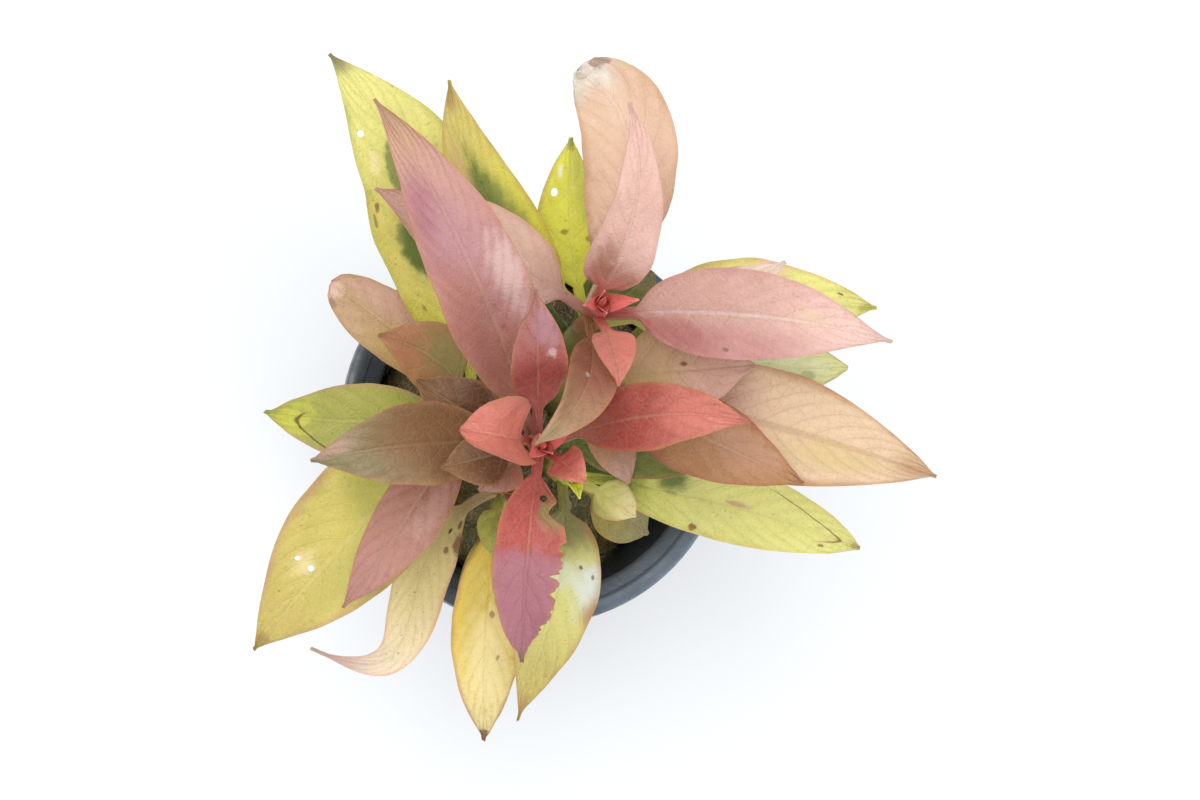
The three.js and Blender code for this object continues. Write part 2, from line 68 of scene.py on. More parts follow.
# The leaves of each shoot, from the crown down, in millimetres and degrees.
#   at      height where the leaf leaves its stem
#   tip     where it ends
#   arch    how far the midrib bows up, bend and hook how its middle and its last stretch swing
#   fold    how far the two halves rise, bank how far the blade rolls
#   widest  where along the blade it is widest, power how pointed it is
#   stalk   length of a stalk that is shorter than the others
#   tones   colours at its foot, middle and tip
#   rim     colour of its edge, rim_strength how strongly it shows
#   veins   colour of its veins, vein_strength how strongly they show
#   specks  how strongly its dark specks show
#   marks   patches (along, side, length, width, tone, strength), with side from -1 to 1
#   shades  patches like marks, with a crisp edge
#   holes   (along, side, radius), tears (along, side, depth, length) and creases (along, slant,
#           curve, first side, last side, tone)
#   ragged  (side, start, end, depth) of a torn margin
#   wilt    where the blade starts to shrivel
LEAVES = {
    "main": [
        dict(at=104, tip=(-21, -1, 113), width=12, arch=4, fold=40, bank=15, widest=0.5,
             tones="crimson salmon salmon"),
        dict(at=104, tip=(-4, -8, 111), width=6, arch=2, fold=25, tones="crimson crimson salmon"),
        dict(at=101, tip=(-12, 17, 119), width=8, arch=1, fold=12, tones="maroon garnet rouge",
             # The blush streak is a painted highlight and the mauve patch a painted sheen.
             marks=[(0.58, -0.5, 0.04, 0.2, "blush", 0.6), (0.75, -0.4, 0.16, 0.7, "mauve", 0.7)]),
        dict(at=99, tip=(-10, -32, 96), width=10, arch=5, bend=(-1.2, 0, 0), fold=12, stalk=2.2,
             tones="crimson crimson magenta",
             # The magenta half towards the tip is partly the leaf's own tone and partly a painted sheen.
             shades=[(0.82, 0, 0.38, 6, "magenta", 0.95)],
             marks=[(0.26, 0.7, 0.1, 0.45, "moss", 0.75), (0.98, 0.2, 0.05, 1.2, "ash", 0.8)],
             holes=[(0.2, 0.45, 0.55)], tears=[(0.27, 1, 0.45, 0.05), (0.93, -1, 0.3, 0.03)],
             ragged=(1, 0.4, 0.97, 0.26)),
        dict(at=97, tip=(18, 0, 112), width=9.5, arch=3, bend=(0, 2.2, 0), fold=15,
             tones="brick garnet salmon", marks=[(0.76, 0, 0.18, 0.9, "salmon", 0.7)]),
        dict(at=96, tip=(-22, -6, 103), width=8, arch=2, fold=15, tones="umber umber brown"),
        dict(at=94, tip=(-33, 42, 117), width=13, arch=7, bend=(1, 0.5, 0), fold=12,
             tones="brick rouge rose",
             # The magenta patch and the first mauve one are painted shade where a leaf beneath shows
             # through.
             marks=[(0.71, 0.55, 0.12, 0.7, "magenta", 0.85), (0.63, 0.1, 0.12, 0.5, "mauve", 0.5),
                    # The last mauve patch and the blush patch, both on the right half, are a painted
                    # sheen.
                    (0.42, 0.6, 0.18, 0.5, "brick", 0.4), (0.5, -0.5, 0.2, 0.45, "mauve", 0.35),
                    (0.46, -0.65, 0.12, 0.4, "blush", 0.5),
                    (0.34, -0.2, 0.02, 0.1, "brick", 0.6), (0.2, 0, 0.16, 2, "brick", 0.45),
                    (0.93, 0, 0.1, 1.5, "tan", 0.6)]),
        dict(at=92, tip=(-16, -9, 97), width=6, arch=2, fold=15, tones="brown brick rose"),
        dict(at=88, tip=(-38, -5, 92), width=11.5, arch=5, bend=(0, 1, 0), fold=10,
             tones="umber brown ash",
             marks=[(0.35, 0.3, 0.2, 0.5, "umber", 0.4), (0.58, -0.2, 0.2, 0.7, "brown", 0.5),
                    (0.9, -0.5, 0.12, 0.6, "rose", 0.6)]),
        dict(at=85, tip=(-23, 6, 88), width=9, arch=3, bend=(0, -1, 0), fold=10,
             tones="umber umber brown"),
        dict(at=76, tip=(22, -4, 80), width=9, arch=4, fold=12, tones="green moss moss"),
    ],
    "rear": [
        dict(at=99, tip=(0.5, 4.8, 111), width=6.2, arch=2, bend=(0.2, 0.5, 0), fold=20,
             tones="crimson salmon salmon"),
        dict(at=98, tip=(1, 42, 116), width=9, arch=4, bend=(2.3, 0, 0), fold=15, widest=0.25,
             power=1.4, stalk=1.6, tones="rose pink pink",
             marks=[(0.08, 0.1, 0.14, 2.5, "brick", 0.7), (0.22, 0.35, 0.16, 0.5, "brick", 0.65),
                    (0, 0, 0.1, 3, "crimson", 0.8), (0.35, -0.1, 0.25, 0.08, "blush", 0.4),
                    (0.65, 0, 0.4, 1.5, "rose", 0.3)],
             rim="rose"),
        dict(at=95, tip=(39, 11, 105), width=12.7, arch=6, bend=(0, 1.3, 0), fold=10,
             widest=0.37, tones="rose rose pink", veins="blush", vein_strength=0.4,
             # The rouge and maroon patches on the negative side are painted shade where leaves beneath
             # hold back the light through the blade.
             marks=[(0.42, -0.75, 0.3, 0.6, "rouge", 0.75), (0.24, -0.65, 0.13, 0.45, "maroon", 0.55),
                    (0.7, 0.2, 0.05, 0.3, "peach", 0.5), (0.43, -0.8, 0.012, 0.06, "umber", 0.6),
                    (0.35, 0.5, 0.2, 0.3, "rose", 0.4), (0, 0, 0.12, 3, "crimson", 0.9)],
             rim="rouge"),
        dict(at=93, tip=(-31, 31, 104), width=12, arch=3, fold=10, tones="rose pink rose",
             marks=[(0.4, -0.6, 0.2, 0.4, "tan", 0.35), (0.05, 0, 0.12, 3, "crimson", 0.3)]),
        dict(at=91, tip=(-3.5, 47, 101), width=13, arch=6, bend=(3, -1, 0), hook=(5, 6, 4),
             fold=8, widest=0.6, power=1.5, tones="peach peach peach", wilt=0.9,
             marks=[(1, 0, 0.11, 3, "frost", 0.85), (0.9, -0.3, 0.07, 0.45, "frost", 0.8),
                    (0.8, -0.65, 0.12, 0.4, "caramel", 0.5), (0.94, -0.85, 0.03, 0.35, "umber", 0.7),
                    (0.78, 0.1, 0.1, 0.15, "blush", 0.5), (0.55, 0, 0.45, 2, "tan", 0.55),
                    (0.5, 0, 0.5, 2, "pink", 0.4)]),
        dict(at=96, tip=(-12, -3, 119), width=8, arch=3, bend=(2.5, -1, 0), fold=25,
             tones="brown brick tan",
             marks=[(0.4, 0.2, 0.16, 0.6, "brick", 0.6), (0.45, -0.1, 0.02, 0.12, "blush", 0.7),
                    (0.7, -0.5, 0.2, 0.4, "brown", 0.5), (0.92, 0.2, 0.1, 0.8, "ash", 0.5)]),
        dict(at=87, tip=(-20, 46, 97), width=10, arch=5, bend=(-4, -2, 0), fold=12,
             tones="lime lime wheat",
             # The green and moss patches are painted shadow of the leaf that lies over this one.
             marks=[(0.6, 0, 0.18, 0.38, "green", 0.85), (0.47, -0.2, 0.18, 0.5, "moss", 0.75),
                    (0.7, 0.5, 0.15, 0.4, "tan", 0.6), (0.95, 0.3, 0.06, 0.8, "brown", 0.5)]),
        dict(at=85, tip=(40, 16, 91), width=13.5, arch=3, bend=(0, 1, 0), fold=8,
             tones="lemon lemon lemon",
             marks=[(0.62, 0.95, 0.05, 0.3, "pink", 0.85), (0.86, 0.6, 0.015, 0.07, "umber", 0.8),
                    (0.8, 0.3, 0.012, 0.06, "brown", 0.7), (0.97, 0, 0.04, 1, "olive", 0.7)]),
        dict(at=89, tip=(26, 22, 97), width=8, arch=2, bend=(0, -2, 0), fold=10,
             tones="tan peach blush"),
        dict(at=82, tip=(-2, 39, 89), width=9.6, arch=3, bend=(-1.4, 0, 0), fold=10,
             tones="lime lime lime",
             marks=[(0.78, -0.5, 0.25, 0.6, "olive", 0.6), (0.82, 0.5, 0.04, 0.2, "frost", 0.8),
                    (0.5, 0.2, 0.02, 0.12, "umber", 0.6), (0.45, -0.5, 0.02, 0.1, "umber", 0.5),
                    (0.97, 0, 0.04, 1, "moss", 0.7)],
             holes=[(0.71, 0.55, 0.55)]),
        dict(at=80, tip=(10, 21, 85), width=8, arch=2, fold=10, power=1.4, tones="green moss ash"),
        dict(at=72, tip=(6, 38, 76), width=10, arch=4, fold=8, tones="green moss olive"),
        dict(at=70, tip=(-22, 36, 74), width=11, arch=3, fold=8, tones="green moss olive"),
    ],
    "middle": [
        dict(at=88, tip=(22, 8, 96), width=13, arch=3, fold=10, tones="caramel tan rose",
             marks=[(0.58, 0.1, 0.022, 0.07, "umber", 0.95), (0.35, -0.5, 0.2, 0.5, "wheat", 0.5),
                    (0.75, -0.2, 0.2, 0.8, "rose", 0.4)]),
        dict(at=82, tip=(49, -7, 88), width=15.5, arch=6, bend=(0, 0.5, 0), fold=8,
             tones="tan peach peach", veins="brick", vein_strength=0.3,
             marks=[(0.33, 0.3, 0.14, 0.7, "rose", 0.7), (0.7, -0.3, 0.2, 0.4, "wheat", 0.4),
                    (0.93, 0, 0.08, 1, "caramel", 0.5), (0.6, 0.6, 0.2, 0.2, "peach", 0.4)],
             rim="caramel", rim_strength=0.9),
        dict(at=86, tip=(29, -8, 94), width=11.5, arch=4, bend=(0, -0.5, 0), fold=10,
             tones="brown caramel caramel",
             marks=[(0.75, 0.2, 0.2, 0.8, "rose", 0.35)],
             rim="maroon", rim_strength=0.6),
        dict(at=76, tip=(38, 8, 82), width=12, arch=3, bend=(0, 0.7, 0), fold=8, power=1.5,
             tones="lemon lemon lemon",
             # The wide frost patch is painted light shining through the blade.
             marks=[(0.5, 0, 0.6, 2, "frost", 0.6), (0.83, -0.35, 0.04, 0.25, "moss", 0.4)]),
        dict(at=79, tip=(7, -8, 83), width=6.5, arch=3, fold=15, tones="caramel caramel rose"),
        dict(at=66, tip=(38, 3, 67), width=12, arch=4, fold=8, tones="moss olive yellow"),
        dict(at=62, tip=(27, 15, 62), width=11, arch=3, fold=8, tones="green moss olive"),
    ],
    "left": [
        dict(at=75, tip=(-35, 50, 88), width=18, arch=5, bend=(3.5, 1.5, 0), fold=8,
             tones="lime yellow lemon", specks=0.45,
             # The moss and green shades are painted shadow of the leaf that lies over this one.
             shades=[(0.65, 0.12, 0.085, 0.34, "moss", 0.9), (0.46, 0.25, 0.11, 0.44, "moss", 0.9),
                     (0.45, 0.25, 0.09, 0.38, "green", 0.75)],
             marks=[(0.7, 0.62, 0.03, 0.12, "cream", 0.8), (0.6, 0.82, 0.014, 0.05, "brown", 0.8),
                    (0.57, 0.9, 0.02, 0.03, "umber", 0.6), (0.28, 0.7, 0.012, 0.04, "brown", 0.6),
                    (0.2, 0.3, 0.015, 0.06, "brown", 0.5), (0.99, 0, 0.05, 1.5, "ash", 0.85)],
             holes=[(0.79, 0.68, 0.5)], rim="olive"),
        dict(at=72, tip=(-33, 19.5, 75), width=9, arch=4, bend=(-0.5, 0.5, 0), fold=10,
             widest=0.55, power=1.2, tones="tan tan tan",
             marks=[(0.7, -0.6, 0.3, 0.4, "rose", 0.6), (0.96, 0.3, 0.06, 0.9, "pink", 0.7),
                    (0.5, 0.6, 0.2, 0.4, "wheat", 0.6), (0.93, 0.9, 0.04, 0.3, "umber", 0.5)]),
        dict(at=78, tip=(-28, 12, 86), width=10, arch=3, bend=(1, 1, 0), fold=12,
             tones="moss caramel caramel",
             marks=[(0.85, 0, 0.16, 1, "brick", 0.5), (0.42, -0.4, 0.3, 0.8, "moss", 0.6)]),
        dict(at=69, tip=(-41, 2, 66), width=10.5, arch=5, bend=(0, -1.8, 0), fold=10,
             tones="olive olive olive",
             marks=[(0.86, 0.2, 0.12, 1, "lime", 0.6), (0.4, 0.4, 0.2, 0.5, "moss", 0.5)],
             creases=[(0.8, 0.085, -0.307, -0.2, 1.1, "umber")], rim="rouge"),
        dict(at=66, tip=(-42, -31, 62), width=18, arch=5, bend=(-0.8, 0.8, 0), fold=8,
             tones="yellow yellow wheat", specks=0.4,
             marks=[(0.35, -0.3, 0.12, 0.6, "olive", 0.6), (0.68, -0.3, 0.05, 0.3, "cream", 0.7),
                    (0.6, 0.4, 0.2, 0.4, "olive", 0.35), (0.97, 0, 0.04, 1, "brown", 0.4)],
             holes=[(0.68, -0.47, 0.4), (0.68, -0.15, 0.5)], rim="rouge"),
        dict(at=73, tip=(-31, -25, 73), width=9.5, arch=5, fold=12, tones="brick brick rouge",
             marks=[(0.42, 0.5, 0.2, 0.4, "pink", 0.3), (0.7, 0, 0.4, 2, "rose", 0.35)]),
        dict(at=56, tip=(-33, -12, 54), width=10, arch=3, fold=8, tones="moss olive yellow"),
    ],
    "front": [
        dict(at=61, tip=(-33, -31, 54), width=8, arch=3, bend=(-7, 0, 0), hook=(21.5, -17, 0),
             fold=10, widest=0.33, power=2.4, tones="cream cream blush", specks=0.5,
             marks=[(0.06, 0, 0.12, 2, "brown", 0.55), (0.2, 0.3, 0.014, 0.1, "umber", 0.9),
                    (0.16, 0.7, 0.02, 0.15, "umber", 0.8), (0.25, -0.3, 0.012, 0.1, "umber", 0.8),
                    (0.27, 0.5, 0.012, 0.1, "umber", 0.7), (0.22, 0.9, 0.04, 0.3, "brown", 0.8),
                    (0.82, 0.2, 0.03, 0.3, "frost", 0.7), (0.9, 0, 0.12, 1.5, "rose", 0.5)],
             rim="salmon", rim_strength=0.5),
        dict(at=66, tip=(-9, -44, 58), width=10.5, arch=5, bend=(-1.5, 0, 0), fold=10,
             tones="gold gold cream",
             marks=[(0.64, 0.1, 0.28, 0.7, "cream", 0.8), (0.4, -0.5, 0.2, 0.3, "wheat", 0.4),
                    (0.45, 0.1, 0.016, 0.07, "brown", 0.7), (0.62, 0.35, 0.014, 0.06, "brown", 0.6),
                    (0.97, 0, 0.045, 1.5, "brown", 0.9)], rim="caramel", rim_strength=0.8),
        dict(at=69, tip=(-10, -18, 73), width=4.5, arch=2, bend=(-1, 0, 0), fold=15,
             tones="moss olive olive"),
        dict(at=74, tip=(-5, -16, 78), width=6, arch=2, fold=15, tones="brick brown brick"),
        dict(at=54, tip=(-10, -34, 51), width=8, arch=3, fold=8, tones="moss olive yellow"),
    ],
    "right": [
        dict(at=66, tip=(43, -17, 67), width=11, arch=4, bend=(0, 1.3, 0), fold=10, power=1.5,
             tones="lime lemon lemon",
             # The second green patch is painted shadow of the leaf that lies over this one.
             marks=[(0.12, 0, 0.1, 1, "green", 0.7), (0.31, 0.3, 0.06, 0.35, "green", 0.85),
                    (0.4, -0.85, 0.02, 0.12, "brown", 0.95), (0.53, 0.05, 0.05, 0.08, "rouge", 0.7),
                    (0.85, -0.6, 0.015, 0.07, "umber", 0.7), (0.99, 0, 0.04, 1, "brown", 0.5)],
             creases=[(0.902, -0.044, -0.505, -0.4, 0.75, "brown")], rim="wheat"),
        dict(at=71, tip=(9.5, -12.5, 75), width=6, arch=2, fold=12, tones="lemon lemon cream",
             marks=[(0.5, -0.8, 0.3, 0.3, "olive", 0.6)]),
        dict(at=63, tip=(-5, -41, 63), width=12, arch=6, bend=(1.5, 0, 0), hook=(-2, 0, 0),
             fold=10, widest=0.33, tones="olive lemon wheat", specks=0.4,
             marks=[(0.15, 0.2, 0.15, 1.5, "ash", 0.8), (0.38, 0.35, 0.07, 0.6, "frost", 0.6),
                    (0.41, 0.85, 0.12, 0.48, "frost", 0.95), (0.5, 1, 0.06, 0.3, "caramel", 0.8),
                    (0.2, 0.95, 0.08, 0.3, "caramel", 0.6),
                    (0.34, 0.5, 0.012, 0.06, "umber", 0.8), (0.37, 0.8, 0.012, 0.05, "umber", 0.7),
                    (0.6, -0.8, 0.12, 0.3, "rose", 0.6), (0.95, 0, 0.08, 1.2, "caramel", 0.6)],
             tears=[(0.12, 1, 0.3, 0.04)], rim="caramel"),
        dict(at=61, tip=(18, -5, 64), width=9, arch=2, fold=10, tones="green green moss"),
        dict(at=55, tip=(15, -15, 55), width=9, arch=3, fold=8, tones="wheat wheat ash"),
    ],
}


def colour_property(name, description, colour):
    """A display colour that the user can change."""
    return FloatVectorProperty(name=name, description=description, subtype="COLOR_GAMMA",
                               size=3, min=0, max=1, default=colour)


def tone_property(name, colour):
    """A colour that leaves and crowns are made of."""
    return colour_property(name, f"{name} parts of the leaves", colour)


def length_property(name, description, length, least, most, precision=4):
    """A length in metres that the user can change."""
    return FloatProperty(name=name, description=description, unit="LENGTH", default=length,
                         min=least, max=most, precision=precision)


def place_property(name, description, place):
    """A place in metres that the user can change."""
    return FloatVectorProperty(name=name, description=description, subtype="TRANSLATION",
                               unit="LENGTH", size=3, default=place)


class LeafTones(bpy.types.PropertyGroup):
    """The colours that the leaves and crowns are made of."""

    frost: tone_property("Frost", (0.95, 0.97, 0.95))
    blush: tone_property("Blush", (0.98, 0.92, 0.89))
    pink: tone_property("Pink", (0.98, 0.86, 0.82))
    salmon: tone_property("Salmon", (0.90, 0.58, 0.52))
    crimson: tone_property("Crimson", (0.79, 0.40, 0.37))
    maroon: tone_property("Maroon", (0.71, 0.41, 0.38))
    garnet: tone_property("Garnet", (0.73, 0.35, 0.31))
    magenta: tone_property("Magenta", (0.75, 0.52, 0.56))
    mauve: tone_property("Mauve", (0.82, 0.65, 0.69))
    rouge: tone_property("Rouge", (0.82, 0.60, 0.58))
    rose: tone_property("Rose", (0.87, 0.71, 0.66))
    brick: tone_property("Brick", (0.73, 0.49, 0.40))
    caramel: tone_property("Caramel", (0.79, 0.60, 0.42))
    brown: tone_property("Brown", (0.62, 0.45, 0.30))
    umber: tone_property("Umber", (0.48, 0.31, 0.22))
    tan: tone_property("Tan", (0.84, 0.71, 0.56))
    peach: tone_property("Peach", (0.94, 0.85, 0.73))
    cream: tone_property("Cream", (0.99, 0.94, 0.74))
    gold: tone_property("Gold", (0.93, 0.84, 0.38))
    wheat: tone_property("Wheat", (0.86, 0.79, 0.48))
    yellow: tone_property("Yellow", (0.92, 0.88, 0.52))
    lemon: tone_property("Lemon", (0.95, 0.94, 0.63))
    lime: tone_property("Lime", (0.93, 0.93, 0.40))
    olive: tone_property("Olive", (0.74, 0.74, 0.38))
    moss: tone_property("Moss", (0.60, 0.63, 0.37))
    green: tone_property("Green", (0.42, 0.51, 0.24))
    ash: tone_property("Ash", (0.64, 0.61, 0.45))


class LeafSettings(bpy.types.PropertyGroup):
    """Sizes that all leaves share."""

    thickness: length_property("Blade thickness", "Thickness of a blade beside its midrib",
                               0.00042, 0.0001, 0.002, precision=5)
    stalk_length: length_property("Stalk length", "Bare length between stem and blade",
                                  0.004, 0.001, 0.02)
    stalk_width: length_property("Stalk width", "Width of the stalk", 0.0015, 0.0005, 0.005)
    ripple: length_property("Ripple", "How far the margins wave up and down", 0.0007, 0, 0.004)
    vein_depth: length_property("Vein depth", "Relief of the veins", 0.0002, 0, 0.001, precision=5)
    translucency: FloatProperty(name="Translucency",
                                description="Share of light that passes through a blade",
                                subtype="FACTOR", default=0.5, min=0, max=1)


class StemSettings(bpy.types.PropertyGroup):
    """Sizes and colours of the stems."""

    radius: length_property("Radius", "Radius of a stem at the plug", 0.0017, 0.0005, 0.005)
    taper: FloatProperty(name="Taper",
                         description="Radius at the crown as a share of the radius at the plug",
                         subtype="FACTOR", default=0.7, min=0.3, max=1)
    sides: IntProperty(name="Sides", description="Number of sides of a stem", default=14, min=6, max=32)
    colour: colour_property("Colour", "Colour of the lower stems", (0.50, 0.50, 0.27))


class PlugSettings(bpy.types.PropertyGroup):
    """Size and colour of the rockwool plug."""

    height: length_property("Height", "Height of the plug's edge above the table", 0.042, 0.02, 0.06)
    top_radius: length_property("Top radius", "Radius of the plug's top", 0.0185, 0.01, 0.03)
    fibres: IntProperty(name="Fibres", description="Number of loose fibres on the plug",
                        default=900, min=0, max=2000)
    colour: colour_property("Colour", "Colour of the wet wool", (0.52, 0.46, 0.32))


class PotSettings(bpy.types.PropertyGroup):
    """Sizes and colour of the net pot."""

    height: length_property("Height", "Height of the pot", 0.05, 0.03, 0.08)
    lip_radius: length_property("Lip radius", "Outer radius of the lip", 0.028, 0.02, 0.05)
    top_radius: length_property("Top radius", "Outer radius of the wall under the lip",
                                0.0246, 0.015, 0.045)
    foot_radius: length_property("Foot radius", "Radius of the foot", 0.018, 0.01, 0.04)
    wall: length_property("Wall", "Thickness of the wall", 0.0012, 0.0005, 0.003)
    slots: IntProperty(name="Side slots", description="Number of slots round the wall",
                       default=16, min=4, max=32)
    slot_width: length_property("Slot width", "Width of a side slot", 0.0034, 0.001, 0.006)
    colour: colour_property("Colour", "Colour of the plastic", (0.15, 0.17, 0.20))


class StageSettings(bpy.types.PropertyGroup):
    """Camera and floor."""

    camera: place_property("Camera", "Place of the camera", (-0.1445, -0.0115, 0.9))
    target: place_property("Target", "Point that the camera looks at", (0.0036, 0.0035, 0.08))
    lens: FloatProperty(name="Lens", description="Focal length in millimetres",
                        default=182, min=20, max=400)
    floor: colour_property("Floor", "Colour of the floor", (0.70, 0.71, 0.72))
    glow: FloatProperty(name="Floor glow", description="Light that the floor gives off",
                        default=0.42, min=0, max=5)


def linear(colour):
    """An RGBA tuple in linear light from a display colour."""
    return tuple(c / 12.92 if c <= 0.04045 else ((c + 0.055) / 1.055) ** 2.4 for c in colour) + (1.0,)


def tone(word):
    """The colour of a leaf tone, in linear light."""
    return linear(getattr(bpy.context.scene.plant_tones, word))


def smoothstep(low, high, value):
    """0 below low, 1 above high, with a soft rise between."""
    share = min(1, max(0, (value - low) / (high - low)))
    return share * share * (3 - 2 * share)


# Materials

class Shader:
    """A material's node tree, with one call for each node."""

    def __init__(self, name):
        self.material = bpy.data.materials.new(name)
        self.material.use_nodes = True
        self.tree = self.material.node_tree
        self.tree.nodes.clear()

    def node(self, kind, inputs=None, **settings):
        """Adds a node. Each input is a value or another node's output."""
        node = self.tree.nodes.new(kind)
        for key, value in settings.items():
            setattr(node, key, value)
        for key, value in (inputs or {}).items():
            if isinstance(value, bpy.types.NodeSocket):
                self.tree.links.new(value, node.inputs[key])
            else:
                node.inputs[key].default_value = value
        return node

    def math(self, operation, a, b=0.0, c=0.0):
        """One step of arithmetic."""
        return self.node("ShaderNodeMath", {0: a, 1: b, 2: c}, operation=operation).outputs[0]

    def rise(self, value, low, high, floor=0.0, top=1.0):
        """A soft rise from floor to top as value goes from low to high."""
        return self.node("ShaderNodeMapRange", {0: value, 1: low, 2: high, 3: floor, 4: top},
                         interpolation_type="SMOOTHSTEP").outputs[0]

    def blend(self, share, a, b, mode="MIX"):
        """Colour a under colour b."""
        return self.node("ShaderNodeMix", {0: share, 6: a, 7: b}, data_type="RGBA", blend_type=mode,
                         clamp_factor=True).outputs[2]

    def cover(self, colour, over, value, low, high, strength=1.0):
        """A colour with another softly over it as value goes from low to high."""
        return self.blend(self.rise(value, low, high, 0.0, strength), colour, over)

    def ramp(self, value, stops):
        """A colour ramp with (place, colour) stops and soft steps between them."""
        node = self.node("ShaderNodeValToRGB", {0: value})
        node.color_ramp.interpolation = "EASE"
        elements = node.color_ramp.elements
        while len(elements) < len(stops):
            elements.new(0.5)
        for element, (place, colour) in zip(elements, stops):
            element.position = place
            element.color = colour
        return node.outputs[0]

    def noise(self, vector, scale, detail=3.0, roughness=0.5):
        """A noise value round 0.5."""
        return self.node("ShaderNodeTexNoise", {"Vector": vector, "Scale": scale, "Detail": detail,
                                                "Roughness": roughness}).outputs[0]

    def object_place(self):
        """Object coordinates in metres."""
        return self.node("ShaderNodeTexCoord").outputs["Object"]

    def mapped_place(self, shift=(0, 0, 0), stretch=(1, 1, 1)):
        """Object coordinates in metres, shifted and stretched."""
        return self.node("ShaderNodeMapping", {0: self.object_place(), 1: shift, 3: stretch}).outputs[0]

    def bump(self, height, distance, strength):
        """Relief of that many metres."""
        return self.node("ShaderNodeBump", {"Height": height, "Distance": distance,
                                            "Strength": strength}).outputs[0]

    def skin(self, colour, roughness, specular, normal):
        """The surface of a piece."""
        return self.node("ShaderNodeBsdfPrincipled", {"Base Color": colour, "Roughness": roughness,
                                                      "Specular IOR Level": specular,
                                                      "Normal": normal}).outputs[0]

    def finish(self, surface):
        """Connects the surface and gives the material."""
        output = self.node("ShaderNodeOutputMaterial")
        self.tree.links.new(surface, output.inputs["Surface"])
        return self.material


# Distance between two side veins, in millimetres.
VEIN_SPACING = 3.6
# A mark that is shorter than this share of the leaf is a spot, and has a firmer edge.
SPOT_LENGTH = 0.05


class LeafShader(Shader):
    """A leaf's node tree, with the places, noises and veins that its patterns share."""

    def __init__(self, name, length, seed):
        super().__init__(name)
        uv = self.node("ShaderNodeUVMap", uv_map="blade").outputs[0]
        split = self.node("ShaderNodeSeparateXYZ", {0: uv})
        self.along = split.outputs[0]
        self.side = self.math("MULTIPLY_ADD", split.outputs[1], 2, -1)
        self.out = self.math("ABSOLUTE", self.side)
        self.place = self.mapped_place(shift=(seed * 0.37, seed * 0.11, 0))
        self.cloudy = self.noise(self.place, 110, 3, 0.55)
        self.fine = self.noise(self.place, 700, 4, 0.6)
        self.grain = self.noise(self.place, 2400, 3, 0.6)
        wave = self.side_vein_wave(max(5, round(length / VEIN_SPACING)))
        self.quilting = self.math("MULTIPLY_ADD", wave, 0.5, 0.5)
        self.side_veins = self.math("MULTIPLY", self.rise(wave, 0.86, 1.0),
                                    self.rise(self.out, 0.98, 0.55))
        self.midrib = self.rise(self.out, 0.09, 0.015)
        cells = self.node("ShaderNodeTexVoronoi", {"Vector": self.place, "Scale": 850.0},
                          feature="DISTANCE_TO_EDGE")
        self.net = self.rise(cells.outputs["Distance"], 0.12, 0.02)

    def side_vein_wave(self, count):
        """A wave whose crests leave the midrib forwards and curve towards the tip."""
        lead = self.math("MULTIPLY", self.math("POWER", self.out, 1.35), 0.24)
        phase = self.math("MULTIPLY", self.math("SUBTRACT", self.along, lead), count)
        phase = self.math("ADD", phase, self.math("MULTIPLY", self.math("SIGN", self.side), 0.2))
        wobble = self.math("MULTIPLY_ADD", self.fine, 0.16, phase)
        return self.math("COSINE", self.math("MULTIPLY", wobble, 2 * math.pi))

    def patch(self, centre, aside, length, width, strength, crisp):
        """How strongly a patch shows: one with a crisp edge, a small spot or a soft cloud."""
        far = self.math("DIVIDE", self.math("SUBTRACT", self.along, centre), length)
        wide = self.math("DIVIDE", self.math("SUBTRACT", self.side, aside), width)
        near = self.math("SQRT", self.math("ADD", self.math("POWER", far, 2),
                                           self.math("POWER", wide, 2)))
        if crisp:
            near = self.math("MULTIPLY_ADD", self.fine, 0.5, self.math("SUBTRACT", near, 0.25))
            return self.rise(near, 1.1, 0.85, 0.0, strength)
        if length < SPOT_LENGTH:
            near = self.math("MULTIPLY_ADD", self.fine, 2.4, self.math("SUBTRACT", near, 1.2))
            return self.rise(near, 1.1, 0.55, 0.0, strength)
        near = self.math("MULTIPLY_ADD", self.cloudy, 1.2, self.math("SUBTRACT", near, 1.35))
        near = self.math("MULTIPLY_ADD", self.fine, 0.8, near)
        near = self.math("MULTIPLY_ADD", self.grain, 0.5, near)
        near = self.math("MULTIPLY_ADD", self.quilting, 0.2, near)
        return self.rise(near, 1.35, 0.3, 0.0, strength)

    def crease(self, centre, slant, curve, first, last):
        """How strongly a line across the blade shows."""
        path = self.math("MULTIPLY_ADD", self.side, slant, centre)
        path = self.math("MULTIPLY_ADD", self.math("MULTIPLY", self.side, self.side), curve, path)
        path = self.math("MULTIPLY_ADD", self.fine, 0.03, path)
        gap = self.math("ABSOLUTE", self.math("SUBTRACT", self.along, path))
        inside = self.math("MULTIPLY", self.rise(self.side, first - 0.1, first + 0.1),
                           self.rise(self.side, last, last - 0.1))
        return self.math("MULTIPLY", self.rise(gap, 0.018, 0.004, 0.0, 0.85), inside)


